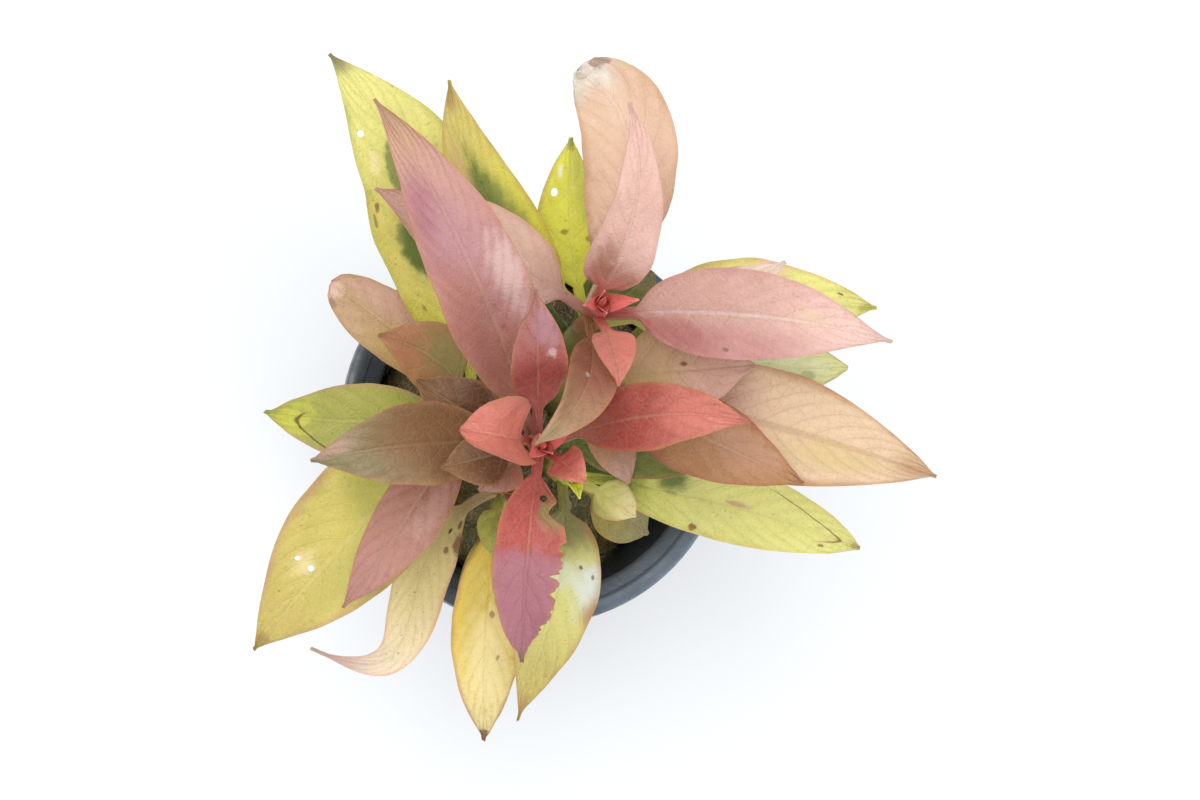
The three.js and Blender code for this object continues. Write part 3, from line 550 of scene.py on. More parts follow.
def leaf_colour(shader, leaf):
    """A colour that runs from foot to tip, with pale veins, mottling, marks and a rim."""
    foot, middle, tip = (tone(word) for word in leaf["tones"].split())
    drift = shader.math("MULTIPLY_ADD", shader.cloudy, 0.3, -0.15)
    run = shader.math("ADD", shader.along, drift)
    colour = shader.ramp(run, [(0.08, foot), (0.4, middle), (0.92, tip)])

    # Veins, and a slight shade between them
    pale = tuple(0.5 * (m + c) for m, c in zip(middle, tone("cream")))
    rib_tone = tone(leaf["veins"]) if "veins" in leaf else pale
    vein_tone = tuple(0.6 * m + 0.4 * r for m, r in zip(middle, rib_tone))
    strength = leaf.get("vein_strength", 0.25)
    shade = shader.blend(shader.math("MULTIPLY", shader.quilting, 0.12), (1, 1, 1, 1),
                         (0.80, 0.76, 0.72, 1))
    colour = shader.blend(1.0, colour, shade, "MULTIPLY")
    colour = shader.blend(shader.math("MULTIPLY", shader.side_veins, 1.1 * strength), colour, vein_tone)
    colour = shader.blend(shader.math("MULTIPLY", shader.midrib, strength), colour, rib_tone)

    # Mottling, the net of the finest veins, and sparse darker specks
    dusk = tuple(0.62 * c for c in middle[:3]) + (1.0,)
    colour = shader.cover(colour, dusk, shader.cloudy, 0.52, 0.8, 0.35)
    colour = shader.cover(colour, dusk, shader.fine, 0.52, 0.8, 0.3)
    colour = shader.cover(colour, dusk, shader.grain, 0.5, 0.72, 0.34)
    colour = shader.cover(colour, vein_tone, shader.grain, 0.46, 0.28, 0.3)
    colour = shader.blend(shader.math("MULTIPLY", shader.net, 0.2), colour, vein_tone)
    specks = shader.noise(shader.place, 1500, 2, 0.5)
    colour = shader.cover(colour, tone("umber"), specks, 0.68, 0.76, leaf.get("specks", 0.25))

    # Patches of tone: some are the leaf's own colour, others painted shadow, painted shade and painted
    # sheen.
    patches = [(*patch, True) for patch in leaf.get("shades", ())]
    patches += [(*patch, False) for patch in leaf.get("marks", ())]
    for centre, aside, length, width, word, strength, crisp in patches:
        share = shader.patch(centre, aside, length, width, strength, crisp)
        colour = shader.blend(share, colour, tone(word))
    for *path, word in leaf.get("creases", ()):
        colour = shader.blend(shader.crease(*path), colour, tone(word))

    edge = shader.math("MULTIPLY_ADD", shader.cloudy, 0.3, shader.out)
    rim = tone(leaf.get("rim", "caramel"))
    colour = shader.cover(colour, rim, edge, 0.95, 1.2, leaf.get("rim_strength", 0.5))
    under = shader.node("ShaderNodeAttribute", attribute_name="under").outputs["Fac"]
    return shader.blend(shader.math("MULTIPLY", under, 0.28), colour, tone("ash"))


def leaf_material(name, leaf, length, seed):
    """A thin blade with sunken veins, which lets part of the light through."""
    settings = bpy.context.scene.plant_leaves
    shader = LeafShader(name, length, seed)
    colour = leaf_colour(shader, leaf)
    veins = shader.math("MAXIMUM", shader.math("MULTIPLY", shader.side_veins, 0.5), shader.midrib)
    relief = shader.math("MULTIPLY_ADD", shader.quilting, -0.6,
                         shader.math("MULTIPLY", shader.fine, 0.35))
    relief = shader.math("SUBTRACT", relief, veins)
    relief = shader.math("MULTIPLY_ADD", shader.net, -0.3, relief)
    normal = shader.bump(relief, settings.vein_depth, 0.6)
    skin = shader.skin(colour, shader.rise(shader.fine, 0.3, 0.7, 0.36, 0.5), 0.4, normal)
    through = shader.node("ShaderNodeHueSaturation", {"Saturation": 0.98, "Value": 1.0, "Color": colour})
    glow = shader.node("ShaderNodeBsdfTranslucent", {"Color": through.outputs[0], "Normal": normal})
    mixed = shader.node("ShaderNodeMixShader", {0: settings.translucency, 1: skin, 2: glow.outputs[0]})
    return shader.finish(mixed.outputs[0])


def stem_material(name, shoot):
    """A ribbed fleshy stem, green-brown below and tinted at its crown."""
    bark, pith = linear((0.36, 0.27, 0.16)), linear((0.66, 0.63, 0.38))
    mud, scar = linear((0.30, 0.25, 0.15)), linear((0.50, 0.33, 0.24))
    green = linear(bpy.context.scene.plant_stems.colour)
    shader = Shader(name)
    place = shader.object_place()
    height = shader.node("ShaderNodeSeparateXYZ", {0: place}).outputs[2]
    top = shoot["crown"][2] * MM
    streaks = shader.noise(shader.mapped_place(stretch=(1, 1, 0.12)), 1400, 3, 0.6)
    blotches = shader.noise(place, 260, 3, 0.6)
    joint = shader.node("ShaderNodeAttribute", attribute_name="joint").outputs["Fac"]
    share = shader.math("MULTIPLY_ADD", blotches, 0.012, height)
    colour = shader.cover(green, tone(shoot["tint"]), share, top - 0.022, top + 0.004)
    colour = shader.cover(colour, bark, streaks, 0.45, 0.75, 0.5)
    colour = shader.cover(colour, pith, blotches, 0.55, 0.75, 0.4)
    colour = shader.cover(colour, mud, height, 0.052, 0.044, 0.6)
    colour = shader.cover(colour, scar, joint, 0.35, 1.0, 0.35)
    return shader.finish(shader.skin(colour, 0.42, 0.45, shader.bump(streaks, 0.0002, 0.7)))


def wool_material():
    """Wet mineral wool: matted strands in three directions, algae and dirt in patches, painted shade in
    pits.
    """
    algae, dirt = linear((0.40, 0.43, 0.24)), linear((0.42, 0.32, 0.21))
    painted_pit_shade, straw = linear((0.20, 0.16, 0.10)), linear((0.80, 0.76, 0.60))
    base = linear(bpy.context.scene.plant_plug.colour)
    shader = Shader("rockwool")
    place = shader.object_place()
    warp = shader.node("ShaderNodeTexNoise", {"Vector": place, "Scale": 220.0, "Detail": 2.0}).outputs[1]
    bent = shader.node("ShaderNodeMix", {0: 0.004, 4: place, 5: warp}, data_type="VECTOR").outputs[1]
    strands = None
    for turn, stretch in ((0.3, (1, 0.07, 1)), (1.4, (0.07, 1, 1)), (2.3, (1, 0.09, 0.4))):
        laid = shader.node("ShaderNodeMapping", {0: bent, 2: (0.4, 0.2, turn), 3: stretch}).outputs[0]
        strand = shader.rise(shader.noise(laid, 3800, 3, 0.65), 0.52, 0.66)
        strands = strand if strands is None else shader.math("MAXIMUM", strands, strand)
    patches = shader.noise(place, 130, 4, 0.6)
    pits = shader.noise(place, 900, 4, 0.7)
    colour = shader.cover(base, algae, patches, 0.42, 0.66, 0.8)
    colour = shader.cover(colour, dirt, patches, 0.5, 0.3, 0.7)
    # Painted shade darkens the pits of the wool.
    colour = shader.cover(colour, painted_pit_shade, pits, 0.5, 0.3, 0.7)
    colour = shader.blend(shader.math("MULTIPLY", strands, 0.55), colour, straw)
    normal = shader.bump(shader.math("MULTIPLY_ADD", strands, 0.5, pits), 0.0008, 1.0)
    return shader.finish(shader.skin(colour, 0.9, 0.25, normal))


def pot_material():
    """Black moulded plastic with a soft sheen, fine scuffs and a painted reflection on its lip."""
    scuffed, dusty = linear((0.24, 0.27, 0.31)), linear((0.33, 0.34, 0.33))
    painted_lip_reflection = linear((0.36, 0.41, 0.47))
    base = linear(bpy.context.scene.plant_pot.colour)
    shader = Shader("pot_plastic")
    place = shader.object_place()
    x, y, height = shader.node("ShaderNodeSeparateXYZ", {0: place}).outputs
    grain = shader.noise(place, 2200, 3, 0.6)
    scuffs = shader.noise(shader.mapped_place(stretch=(1, 1, 0.2)), 420, 4, 0.7)
    marks = shader.noise(place, 90, 4, 0.6)
    colour = shader.cover(base, scuffed, scuffs, 0.52, 0.7, 0.35)
    colour = shader.cover(colour, dusty, marks, 0.55, 0.72, 0.25)

    # The painted reflection lies on the lip, brighter on its front right side, where the light falls.
    lip_reflection_mask = shader.math("MULTIPLY", shader.rise(height, 0.0490, 0.0498),
                       shader.rise(marks, 0.25, 0.6, 0.45, 0.95))
    lit_side_share = shader.rise(shader.math("SUBTRACT", x, y), -0.025, 0.02, 0.12, 1)
    colour = shader.blend(shader.math("MULTIPLY", lip_reflection_mask, lit_side_share), colour, painted_lip_reflection)

    relief = shader.math("MULTIPLY_ADD", grain, 0.6, shader.math("MULTIPLY", scuffs, 0.4))
    normal = shader.bump(relief, 0.00012, 0.6)
    return shader.finish(shader.skin(colour, shader.rise(scuffs, 0.35, 0.7, 0.3, 0.5), 0.5, normal))


# Shapes, in millimetres

def make_piece(name, bm, material, node, sharp):
    """Turns a bmesh in millimetres into a finished piece that stands for a node of the frame."""
    bmesh.ops.scale(bm, vec=(MM, MM, MM), verts=bm.verts)
    mesh = bpy.data.meshes.new(name)
    bm.to_mesh(mesh)
    bm.free()
    mesh.shade_smooth()
    mesh.set_sharp_from_angle(angle=math.radians(sharp))
    mesh.materials.append(material)
    piece = bpy.data.objects.new(name, mesh)
    bpy.context.scene.collection.objects.link(piece)
    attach(piece, "root")
    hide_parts(node)


# Height of the plug's edge, and where a stem's line and its mesh start inside the plug.
PLUG_EDGE = 42
STEM_FOOT = 37.5
STEM_START = 38.5
# The share of a stem's lean at which its curve has its middle handle.
STEM_LEAN = 0.35


def stem_point(shoot, height):
    """The middle of a stem at a height."""
    x, y = shoot["root"]
    cx, cy, cz = shoot["crown"]
    t = (height - STEM_FOOT) / (cz - STEM_FOOT)
    swing = 2 * t * (1 - t) * STEM_LEAN + t * t
    return Vector((x + (cx - x) * swing, y + (cy - y) * swing, height))


def stem_taper(shoot, height):
    """How thick the stem is at a height, as a share of its thickness at the plug."""
    share = min(1, max(0, (height - PLUG_EDGE) / (shoot["crown"][2] - PLUG_EDGE)))
    return 1 - (1 - bpy.context.scene.plant_stems.taper) * share


# Room between a stem and a leaf's first point, half the stalk's thickness there, and how far the
# stalk's foot is sunk in the stem.
LEAF_GAP = 0.35
STALK_RADIUS = 0.65
STALK_SUNK = 0.2


class Midrib:
    """The midrib of a leaf, as a curve that is measured along its length."""

    STEPS = 200

    def __init__(self, leaf, shoot):
        settings = bpy.context.scene.plant_stems
        tip = Vector(leaf["tip"])
        axis = stem_point(shoot, leaf["at"])
        outward = Vector((tip.x - axis.x, tip.y - axis.y, 0))
        rise = (tip.z - axis.z) / 3 + leaf["arch"] * 4 / 3
        steepness = rise / math.hypot(rise, outward.length / 3)
        stem = settings.radius / MM * stem_taper(shoot, leaf["at"])
        base = axis + outward.normalized() * (stem + LEAF_GAP + STALK_RADIUS * steepness)
        bend = (Vector(leaf.get("bend", (0, 0, 0))) + Vector((0, 0, 1)) * leaf["arch"]) * 4 / 3
        first = base.lerp(tip, 1 / 3) + bend
        last = base.lerp(tip, 2 / 3) + bend + Vector(leaf.get("hook", (0, 0, 0)))
        self.points = (base, first, last, tip)
        self.reach = LEAF_GAP + STALK_SUNK + STALK_RADIUS * steepness
        places = [self.place(i / self.STEPS) for i in range(self.STEPS + 1)]
        self.lengths = [0.0]
        for a, b in zip(places, places[1:]):
            self.lengths.append(self.lengths[-1] + (b - a).length)
        self.length = self.lengths[-1]

    def place(self, t):
        """A point of the curve."""
        a, b, c, d = self.points
        s = 1 - t
        return a * s ** 3 + b * 3 * s * s * t + c * 3 * s * t * t + d * t ** 3

    def slope(self, t):
        """The curve's direction."""
        a, b, c, d = self.points
        s = 1 - t
        return ((b - a) * s * s + (c - b) * 2 * s * t + (d - c) * t * t).normalized()

    def at(self, share):
        """Point and direction at a share of the length."""
        if share < 0:
            return self.points[0] + self.slope(0) * share * self.length, self.slope(0)
        goal = min(1, share) * self.length
        low, high = 0, len(self.lengths) - 1
        while high - low > 1:
            middle = (low + high) // 2
            if self.lengths[middle] <= goal:
                low = middle
            else:
                high = middle
        part = (goal - self.lengths[low]) / (self.lengths[high] - self.lengths[low])
        t = (low + part) / (len(self.lengths) - 1)
        return self.place(t), self.slope(t)


class Blade:
    """The shape of a leaf: a point for each share of its length, side and face."""

    # Shares of the length and of the width
    LONGEST_STALK = 0.28
    UNEVENNESS = 0.05
    # Millimetres
    TIP_HALF = 0.25
    GROOVE_HALF = 0.55
    GROOVE_DEPTH = 0.22
    KEEL_DEPTH = 0.5
    STALK_HALF_THICKNESS = 0.62
    SHRIVEL = 1.5

    def __init__(self, leaf, shoot, seed):
        settings = bpy.context.scene.plant_leaves
        self.leaf = leaf
        self.seed = seed
        self.midrib = Midrib(leaf, shoot)
        stalk = leaf.get("stalk", settings.stalk_length / MM)
        self.stalk = min(stalk / self.midrib.length, self.LONGEST_STALK)
        self.stalk_half = settings.stalk_width / MM / 2
        self.thickness = settings.thickness / MM
        self.ripple = settings.ripple / MM * min(1, leaf["width"] / 12)
        self.fold = math.radians(leaf["fold"])
        self.bank = math.radians(leaf.get("bank", 0))

    def half(self, share, sign=0):
        """Half the width at a share of the length, with any tears on that side."""
        if share <= self.stalk:
            return self.stalk_half
        u = (share - self.stalk) / (1 - self.stalk)
        widest = self.leaf.get("widest", 0.43)
        power = self.leaf.get("power", 2)
        rise = (u / widest) ** (power * widest)
        fall = (max(0, 1 - u) / (1 - widest)) ** (power * (1 - widest))
        least = self.stalk_half + (self.TIP_HALF - self.stalk_half) * u
        half = self.leaf["width"] / 2 * rise * fall
        if sign:
            half *= 1 + self.UNEVENNESS * noise.noise(Vector((u * 7, sign * 3.1, self.seed * 1.7)))
            for centre, aside, depth, length in self.leaf.get("tears", ()):
                if aside == sign:
                    half *= 1 - depth * max(0, 1 - abs(share - centre) / length) ** 0.6
            aside, start, end, depth = self.leaf.get("ragged", (0, 0, 0, 0))
            if aside == sign and start < share < end:
                jag = noise.noise(Vector((share * 17, 5.1, 0))) + noise.noise(Vector((share * 67, 1.3, 0)))
                half *= 1 - depth * max(0, jag + 0.3)
        return max(least, half)

    def point(self, share, side, face):
        """A point of the blade. side runs from -1 to 1 and face is 1 above and -1 below."""
        middle, along = self.midrib.at(share)
        level = Vector((-along.y, along.x, 0)).normalized()
        level = Matrix.Rotation(self.bank, 3, along) @ level
        up = along.cross(level)
        half = self.half(share, 1 if side >= 0 else -1)
        blade = smoothstep(self.stalk * 0.8, self.stalk * 1.8 + 0.02, share)
        out = abs(side)
        wave = noise.noise(Vector((share * 5 + self.seed, 2 * side / (out + 1), self.seed * 0.7)))
        wave += 0.5 * noise.noise(Vector((share * 13, side * 2, self.seed * 2.3)))
        raised = half * math.sin(self.fold) * out ** 1.4
        raised += self.ripple * 1.6 * wave * out ** 1.5 * blade
        if "wilt" in self.leaf:
            shrivel = smoothstep(self.leaf["wilt"] - 0.04, 1, share)
            raised += self.SHRIVEL * shrivel * noise.noise(Vector((share * 40, side * 2.2, self.seed)))
        groove = math.exp(-((out * half / self.GROOVE_HALF) ** 2)) * blade * (1 - 0.7 * share)
        stout = (1 - blade) * self.STALK_HALF_THICKNESS * math.sqrt(max(0.02, 1 - out * out))
        thick = self.thickness * (0.5 - 0.2 * out * out) * blade + stout
        if face > 0:
            raised += thick - self.GROOVE_DEPTH * groove
        else:
            raised -= thick + self.KEEL_DEPTH * groove
        return middle + level * (side * half * math.cos(self.fold)) + up * raised


def cut_hole(bm, blade, spread, hole):
    """Opens a round hole: the faces inside it go and the rim is drawn onto its circle."""
    share_of, side_of = spread
    centre, aside, radius = hole
    length = blade.midrib.length
    middle = Vector((centre * length, aside * blade.half(centre)))
    offset = {}
    for vert in bm.verts:
        share, side = vert[share_of], vert[side_of]
        offset[vert] = Vector((share * length, side * blade.half(share))) - middle
    inside = {vert for vert in bm.verts if offset[vert].length < radius}
    rim = {v for vert in inside for face in vert.link_faces for v in face.verts} - inside
    for vert in rim:
        place = middle + offset[vert].normalized() * radius
        vert[share_of] = place.x / length
        vert[side_of] = place.y / blade.half(vert[share_of])
    if not inside:
        raise ValueError("the blade's grid is too coarse for its hole")
    bmesh.ops.delete(bm, geom=list(inside), context="VERTS")


def blade_fineness(leaf):
    """Grid steps for each millimetre of a blade. A damaged one needs more."""
    if "ragged" in leaf:
        return 2.6
    if "holes" in leaf or "tears" in leaf or "wilt" in leaf:
        return 1.9
    return 1.2


def blade_mesh(blade):
    """A closed thin blade on its stalk, as a bmesh with a UV map along and across it."""
    leaf = blade.leaf
    fineness = blade_fineness(leaf)
    steps = max(24, round(blade.midrib.length * fineness))
    columns = 2 * max(5, round(leaf["width"] * 0.62 * fineness))
    bm = bmesh.new()
    share_of = bm.verts.layers.float.new("share")
    side_of = bm.verts.layers.float.new("side")
    under_of = bm.verts.layers.float.new("under")
    uv = bm.loops.layers.uv.new("blade")
    bmesh.ops.create_grid(bm, x_segments=steps, y_segments=columns, size=0.5)
    inner = blade.midrib.reach / blade.midrib.length
    for vert in bm.verts:
        side = 2 * vert.co.y
        vert[share_of] = (1 + inner) * (vert.co.x + 0.5) - inner
        vert[side_of] = math.copysign(abs(side) ** 1.25, side)
    for hole in leaf.get("holes", ()):
        cut_hole(bm, blade, (share_of, side_of), hole)
    upper = list(bm.verts)
    made = bmesh.ops.extrude_face_region(bm, geom=list(bm.faces))["geom"]
    lower = [item for item in made if isinstance(item, bmesh.types.BMVert)]
    for verts, face in ((upper, 1), (lower, -1)):
        for vert in verts:
            vert.co = blade.point(vert[share_of], vert[side_of], face)
            vert[under_of] = 0 if face > 0 else 1
    for face in bm.faces:
        for loop in face.loops:
            loop[uv].uv = (loop.vert[share_of], 0.5 + 0.5 * loop.vert[side_of])
    bmesh.ops.recalc_face_normals(bm, faces=bm.faces)
    return bm


def build_leaves(name):
    """All leaves of one shoot."""
    for i, leaf in enumerate(LEAVES[name]):
        seed = 10 * list(SHOOTS).index(name) + i
        blade = Blade(leaf, SHOOTS[name], seed)
        bm = blade_mesh(blade)
        node = f"leaf_{name}_{i + 1}"
        material = leaf_material(f"{node}_skin", leaf, blade.midrib.length, seed)
        make_piece(f"blade_{name}_{i + 1}", bm, material, node, sharp=70)


# How far each crown is turned, and the turn, length, width and lean of its four tiny leaves.
BUD_TURNS = {"main": 0.6, "rear": 0.1, "middle": 1.2, "left": 0.3, "front": 2.6, "right": 1.7}
BUD_LEAVES = (
    (0, 7.5, 2.6, 0.5),
    (math.pi, 6.2, 2.4, 0.4),
    (1.6, 5.6, 1.9, 0.2),
    (4.7, 5.2, 1.8, 0.16),
)
BUD_SUNK = 1.6
BUD_HALF_THICKNESS = 0.13


def bud_leaf_mesh(crown, turn, length, width, lean):
    """A tiny pointed leaf that clasps the growing tip and leans away from it."""
    bm = bmesh.new()
    grid = bmesh.ops.create_grid(bm, x_segments=12, y_segments=6, size=0.5)["verts"]
    made = bmesh.ops.extrude_face_region(bm, geom=list({f for v in grid for f in v.link_faces}))["geom"]
    lower = {item for item in made if isinstance(item, bmesh.types.BMVert)}
    turned = Matrix.Rotation(turn, 3, "Z")
    for vert in list(grid) + list(lower):
        u, side = vert.co.x + 0.5, 2 * vert.co.y
        half = width / 2 * max(0.1, math.sin(math.pi * (0.12 + 0.88 * u)) ** 0.9 if u < 1 else 0.1)
        out = 0.55 + lean * length * u ** 1.7 - 0.75 * half * abs(side) ** 1.6
        thick = BUD_HALF_THICKNESS if vert in lower else -BUD_HALF_THICKNESS
        rise = length * u * (1 - 0.45 * lean * u) - BUD_SUNK
        vert.co = Vector(crown) + turned @ Vector((out + thick, side * half, rise))
    bmesh.ops.recalc_face_normals(bm, faces=bm.faces)
    return bm


# A stem's joints: their length and how much they swell.
JOINT_LENGTH = 1.3
JOINT_SWELL = 0.22
# The growing tip: its height over the crown, where it starts below it, and the length of its taper.
TIP_HEIGHT = 5
TIP_START = 2
TIP_TAPER = 7.2
# Rings of a stem for each millimetre.
STEM_FINENESS = 1.3


def stem_mesh(name):
    """A stem with swollen joints where leaves leave it, and a pointed bud between tiny leaves."""
    shoot = SHOOTS[name]
    settings = bpy.context.scene.plant_stems
    radius = settings.radius / MM
    joints = [leaf["at"] for leaf in LEAVES[name]]
    top = shoot["crown"][2]
    bm = bmesh.new()
    joint_of = bm.verts.layers.float.new("joint")
    bmesh.ops.create_circle(bm, cap_ends=True, segments=settings.sides, radius=1)
    bmesh.ops.translate(bm, vec=stem_point(shoot, STEM_START), verts=bm.verts)
    ring = list(bm.verts)
    middle = stem_point(shoot, STEM_START)
    rise = top + TIP_HEIGHT - STEM_START
    steps = round(rise * STEM_FINENESS)
    for i in range(steps + 1):
        height = STEM_START + rise * i / steps
        swell = sum(math.exp(-(((height - joint) / JOINT_LENGTH) ** 2)) for joint in joints)
        thick = radius * stem_taper(shoot, height) * (1 + JOINT_SWELL * min(1, swell))
        if height > top - TIP_START:
            thick *= max(0.05, 1 - ((height - top + TIP_START) / TIP_TAPER) ** 0.8)
        centre = stem_point(shoot, height)
        if i:
            cap = next(f for f in ring[0].link_faces if all(v in ring for v in f.verts))
            made = bmesh.ops.extrude_face_region(bm, geom=[cap])["geom"]
            ring = [item for item in made if isinstance(item, bmesh.types.BMVert)]
        for vert in ring:
            vert[joint_of] = min(1, swell)
            spoke = Vector((vert.co.x - middle.x, vert.co.y - middle.y, 0)).normalized()
            rib = 1 + 0.06 * math.cos(4 * math.atan2(spoke.y, spoke.x) + 0.3)
            vert.co = centre + spoke * thick * rib
        middle = centre
    bmesh.ops.recalc_face_normals(bm, faces=bm.faces)
    for turn, *size in BUD_LEAVES:
        bud = bud_leaf_mesh(shoot["crown"], BUD_TURNS[name] + turn, *size)
        tiny = bpy.data.meshes.new("bud")
        bud.to_mesh(tiny)
        bud.free()
        bm.from_mesh(tiny)
        bpy.data.meshes.remove(tiny)
    return bm


def turned_mesh(profile, steps):
    """A profile of (radius, height) pairs that starts and ends on the axis, turned about it."""
    bm = bmesh.new()
    verts = [bm.verts.new((r, 0, z)) for r, z in profile]
    edges = [bm.edges.new(pair) for pair in zip(verts, verts[1:])]
    bmesh.ops.spin(bm, geom=verts + edges, axis=(0, 0, 1), angle=2 * math.pi, steps=steps, use_merge=True)
    bmesh.ops.remove_doubles(bm, verts=bm.verts, dist=0.001)
    bmesh.ops.recalc_face_normals(bm, faces=bm.faces)
    return bm


# The pot's floor, its side slots and its floor slots.
POT_FLOOR = 1.6
SLOT_LOW, SLOT_HIGH = 6, 37
SLOT_REACH = 18
FLOOR_SLOTS = 8
FLOOR_SLOT_INNER, FLOOR_SLOT_OUTER = 6.5, 14.5
FLOOR_SLOT_WIDTH = 2.6


def wall_radius(z):
    """Radius of the pot's outer wall at a height."""
    pot = bpy.context.scene.plant_pot
    foot, top, height = pot.foot_radius / MM, pot.top_radius / MM, pot.height / MM
    return foot + (top - foot) * z / height


def pot_profile():
    """The pot's outline: under its foot, up its outside, round its lip and down its inside."""
    pot = bpy.context.scene.plant_pot
    rim, lip, top = pot.height / MM, pot.lip_radius / MM, pot.top_radius / MM
    foot, wall = pot.foot_radius / MM, pot.wall / MM
    # The foot's ring and recess, the bend above it, the raised band, and the lip's neck and skirt
    ring, recess = 3.6, 0.5
    bend = 5
    band_low, band_high, band = rim - 12, rim - 6, 0.25
    neck, under, skirt = rim - 1.8, rim - 1.6, rim - 3
    under_foot = [(0, recess), (foot - ring - 0.6, recess), (foot - ring, 0), (foot - recess, 0),
                  (foot, recess)]
    outside = [(wall_radius(bend), bend), (wall_radius(band_low), band_low),
               (wall_radius(band_low) + band, band_low + 0.6), (wall_radius(band_high) + band, band_high),
               (wall_radius(neck), neck), (wall_radius(neck) + 0.3, under)]
    skirt_edge = [(lip - wall, under), (lip - wall, skirt + 0.2), (lip - 0.9, skirt),
                  (lip - 0.2, skirt), (lip, skirt + 0.3)]
    lip_top = [(lip, rim - 0.5), (lip - 0.15, rim - 0.15), (lip - 0.5, rim), (lip - 1.9, rim),
               (lip - 2.2, rim - 0.15), (lip - 2.4, rim - 0.5)]
    inside = [(top - 0.4, rim - 0.65), (top - 1.0, rim - 0.9), (wall_radius(rim - 2) - wall, rim - 2),
              (wall_radius(bend) - wall, bend), (foot - wall, POT_FLOOR + 0.6),
              (foot - wall - 0.6, POT_FLOOR), (0, POT_FLOOR)]
    return under_foot + outside + skirt_edge + lip_top + inside


def add_slot(bm, length, width, height, centre, turn):
    """A block that cuts one slot with rounded ends."""
    block = bmesh.ops.create_cube(bm, size=1)["verts"]
    bmesh.ops.scale(bm, vec=(length, width, height), verts=block)
    long_edges = [e for e in {e for v in block for e in v.link_edges}
                  if abs(e.verts[0].co.x - e.verts[1].co.x) > 0.9 * length]
    bevelled = bmesh.ops.bevel(bm, geom=long_edges, offset=0.45 * width, segments=5, profile=0.5,
                               affect="EDGES", material=-1)["verts"]
    block = list({v for v in block if v.is_valid} | set(bevelled))
    bmesh.ops.translate(bm, vec=centre, verts=block)
    bmesh.ops.rotate(bm, cent=(0, 0, 0), matrix=Matrix.Rotation(turn, 3, "Z"), verts=block)


def slot_blocks():
    """The blocks that cut the side slots and the floor slots."""
    pot = bpy.context.scene.plant_pot
    bm = bmesh.new()
    place = (wall_radius(SLOT_LOW), 0, (SLOT_LOW + SLOT_HIGH) / 2)
    for i in range(pot.slots):
        turn = 2 * math.pi * (i + 0.5) / pot.slots
        add_slot(bm, SLOT_REACH, pot.slot_width / MM, SLOT_HIGH - SLOT_LOW, place, turn)
    place = ((FLOOR_SLOT_INNER + FLOOR_SLOT_OUTER) / 2, 0, 0)
    for i in range(FLOOR_SLOTS):
        turn = 2 * math.pi * i / FLOOR_SLOTS
        add_slot(bm, FLOOR_SLOT_OUTER - FLOOR_SLOT_INNER, FLOOR_SLOT_WIDTH, 4 * POT_FLOOR, place, turn)
    return bm


def loose_object(name, bm):
    """An object for a bmesh, used on the way to a finished piece."""
    thing = bpy.data.objects.new(name, bpy.data.meshes.new(name))
    bm.to_mesh(thing.data)
    bm.free()
    bpy.context.scene.collection.objects.link(thing)
    return thing


def pot_mesh():
    """The tapered pot with its lip, side slots and floor slots, and softened edges."""
    body = loose_object("pot_blank", turned_mesh(pot_profile(), 96))
    cutter = loose_object("pot_slots", slot_blocks())
    cut = body.modifiers.new("slots", "BOOLEAN")
    cut.operation = "DIFFERENCE"
    cut.solver = "EXACT"
    cut.object = cutter
    soften = body.modifiers.new("soften", "BEVEL")
    soften.width = 0.18
    soften.segments = 2
    soften.limit_method = "ANGLE"
    soften.angle_limit = math.radians(50)
    bm = bmesh.new()
    bm.from_object(body, bpy.context.evaluated_depsgraph_get())
    for thing in (body, cutter):
        mesh = thing.data
        bpy.data.objects.remove(thing)
        bpy.data.meshes.remove(mesh)
    return bm


# The plug's shoulder and underside, its room in the pot, and the rise of its top.
PLUG_SHOULDER = 39
PLUG_LOW = 2.2
PLUG_ROOM = 0.4
PLUG_CROWN = 2.5


def plug_radius(z):
    """Radius of the plug's side at a height."""
    return wall_radius(z) - bpy.context.scene.plant_pot.wall / MM - PLUG_ROOM


def plug_profile():
    """The plug's outline: its underside, its side, its round shoulder and its top."""
    plug = bpy.context.scene.plant_plug
    edge, crest = plug.height / MM, plug.top_radius / MM
    shoulder = plug_radius(PLUG_SHOULDER)
    profile = [(plug_radius(PLUG_LOW) * i / 6, PLUG_LOW) for i in range(7)]
    for i in range(1, 27):
        z = PLUG_LOW + (PLUG_SHOULDER - PLUG_LOW) * i / 26
        profile.append((plug_radius(z), z))
    for i in range(1, 8):
        turn = i / 8 * math.pi / 2
        profile.append((shoulder + (crest - shoulder) * (1 - math.cos(turn)),
                        PLUG_SHOULDER + (edge - PLUG_SHOULDER) * math.sin(turn)))
    profile += [(crest * i / 20, edge) for i in range(20, -1, -1)]
    return profile


def roughen(bm):
    """Gives the plug a lumpy top and torn, uneven wool all over."""
    plug = bpy.context.scene.plant_plug
    edge, crest = plug.height / MM, plug.top_radius / MM
    for vert in bm.verts:
        x, y, z = vert.co
        rough = noise.fractal(vert.co * 0.55, 0.7, 2.1, 5)
        if z > PLUG_SHOULDER + 1:
            out = math.hypot(x, y) / crest
            lumps = 0.7 * math.sin(0.45 * x + 1) * math.cos(0.38 * y) + 0.4 * math.sin(0.8 * y - 0.5 * x)
            rise = smoothstep(PLUG_SHOULDER, edge, z)
            vert.co.z += rise * (PLUG_CROWN * max(0, 1 - out * out) + lumps) + 0.55 * rough
        spoke = Vector((x, y, 0))
        if spoke.length > 1:
            vert.co += spoke.normalized() * (0.35 * rough - 0.1)


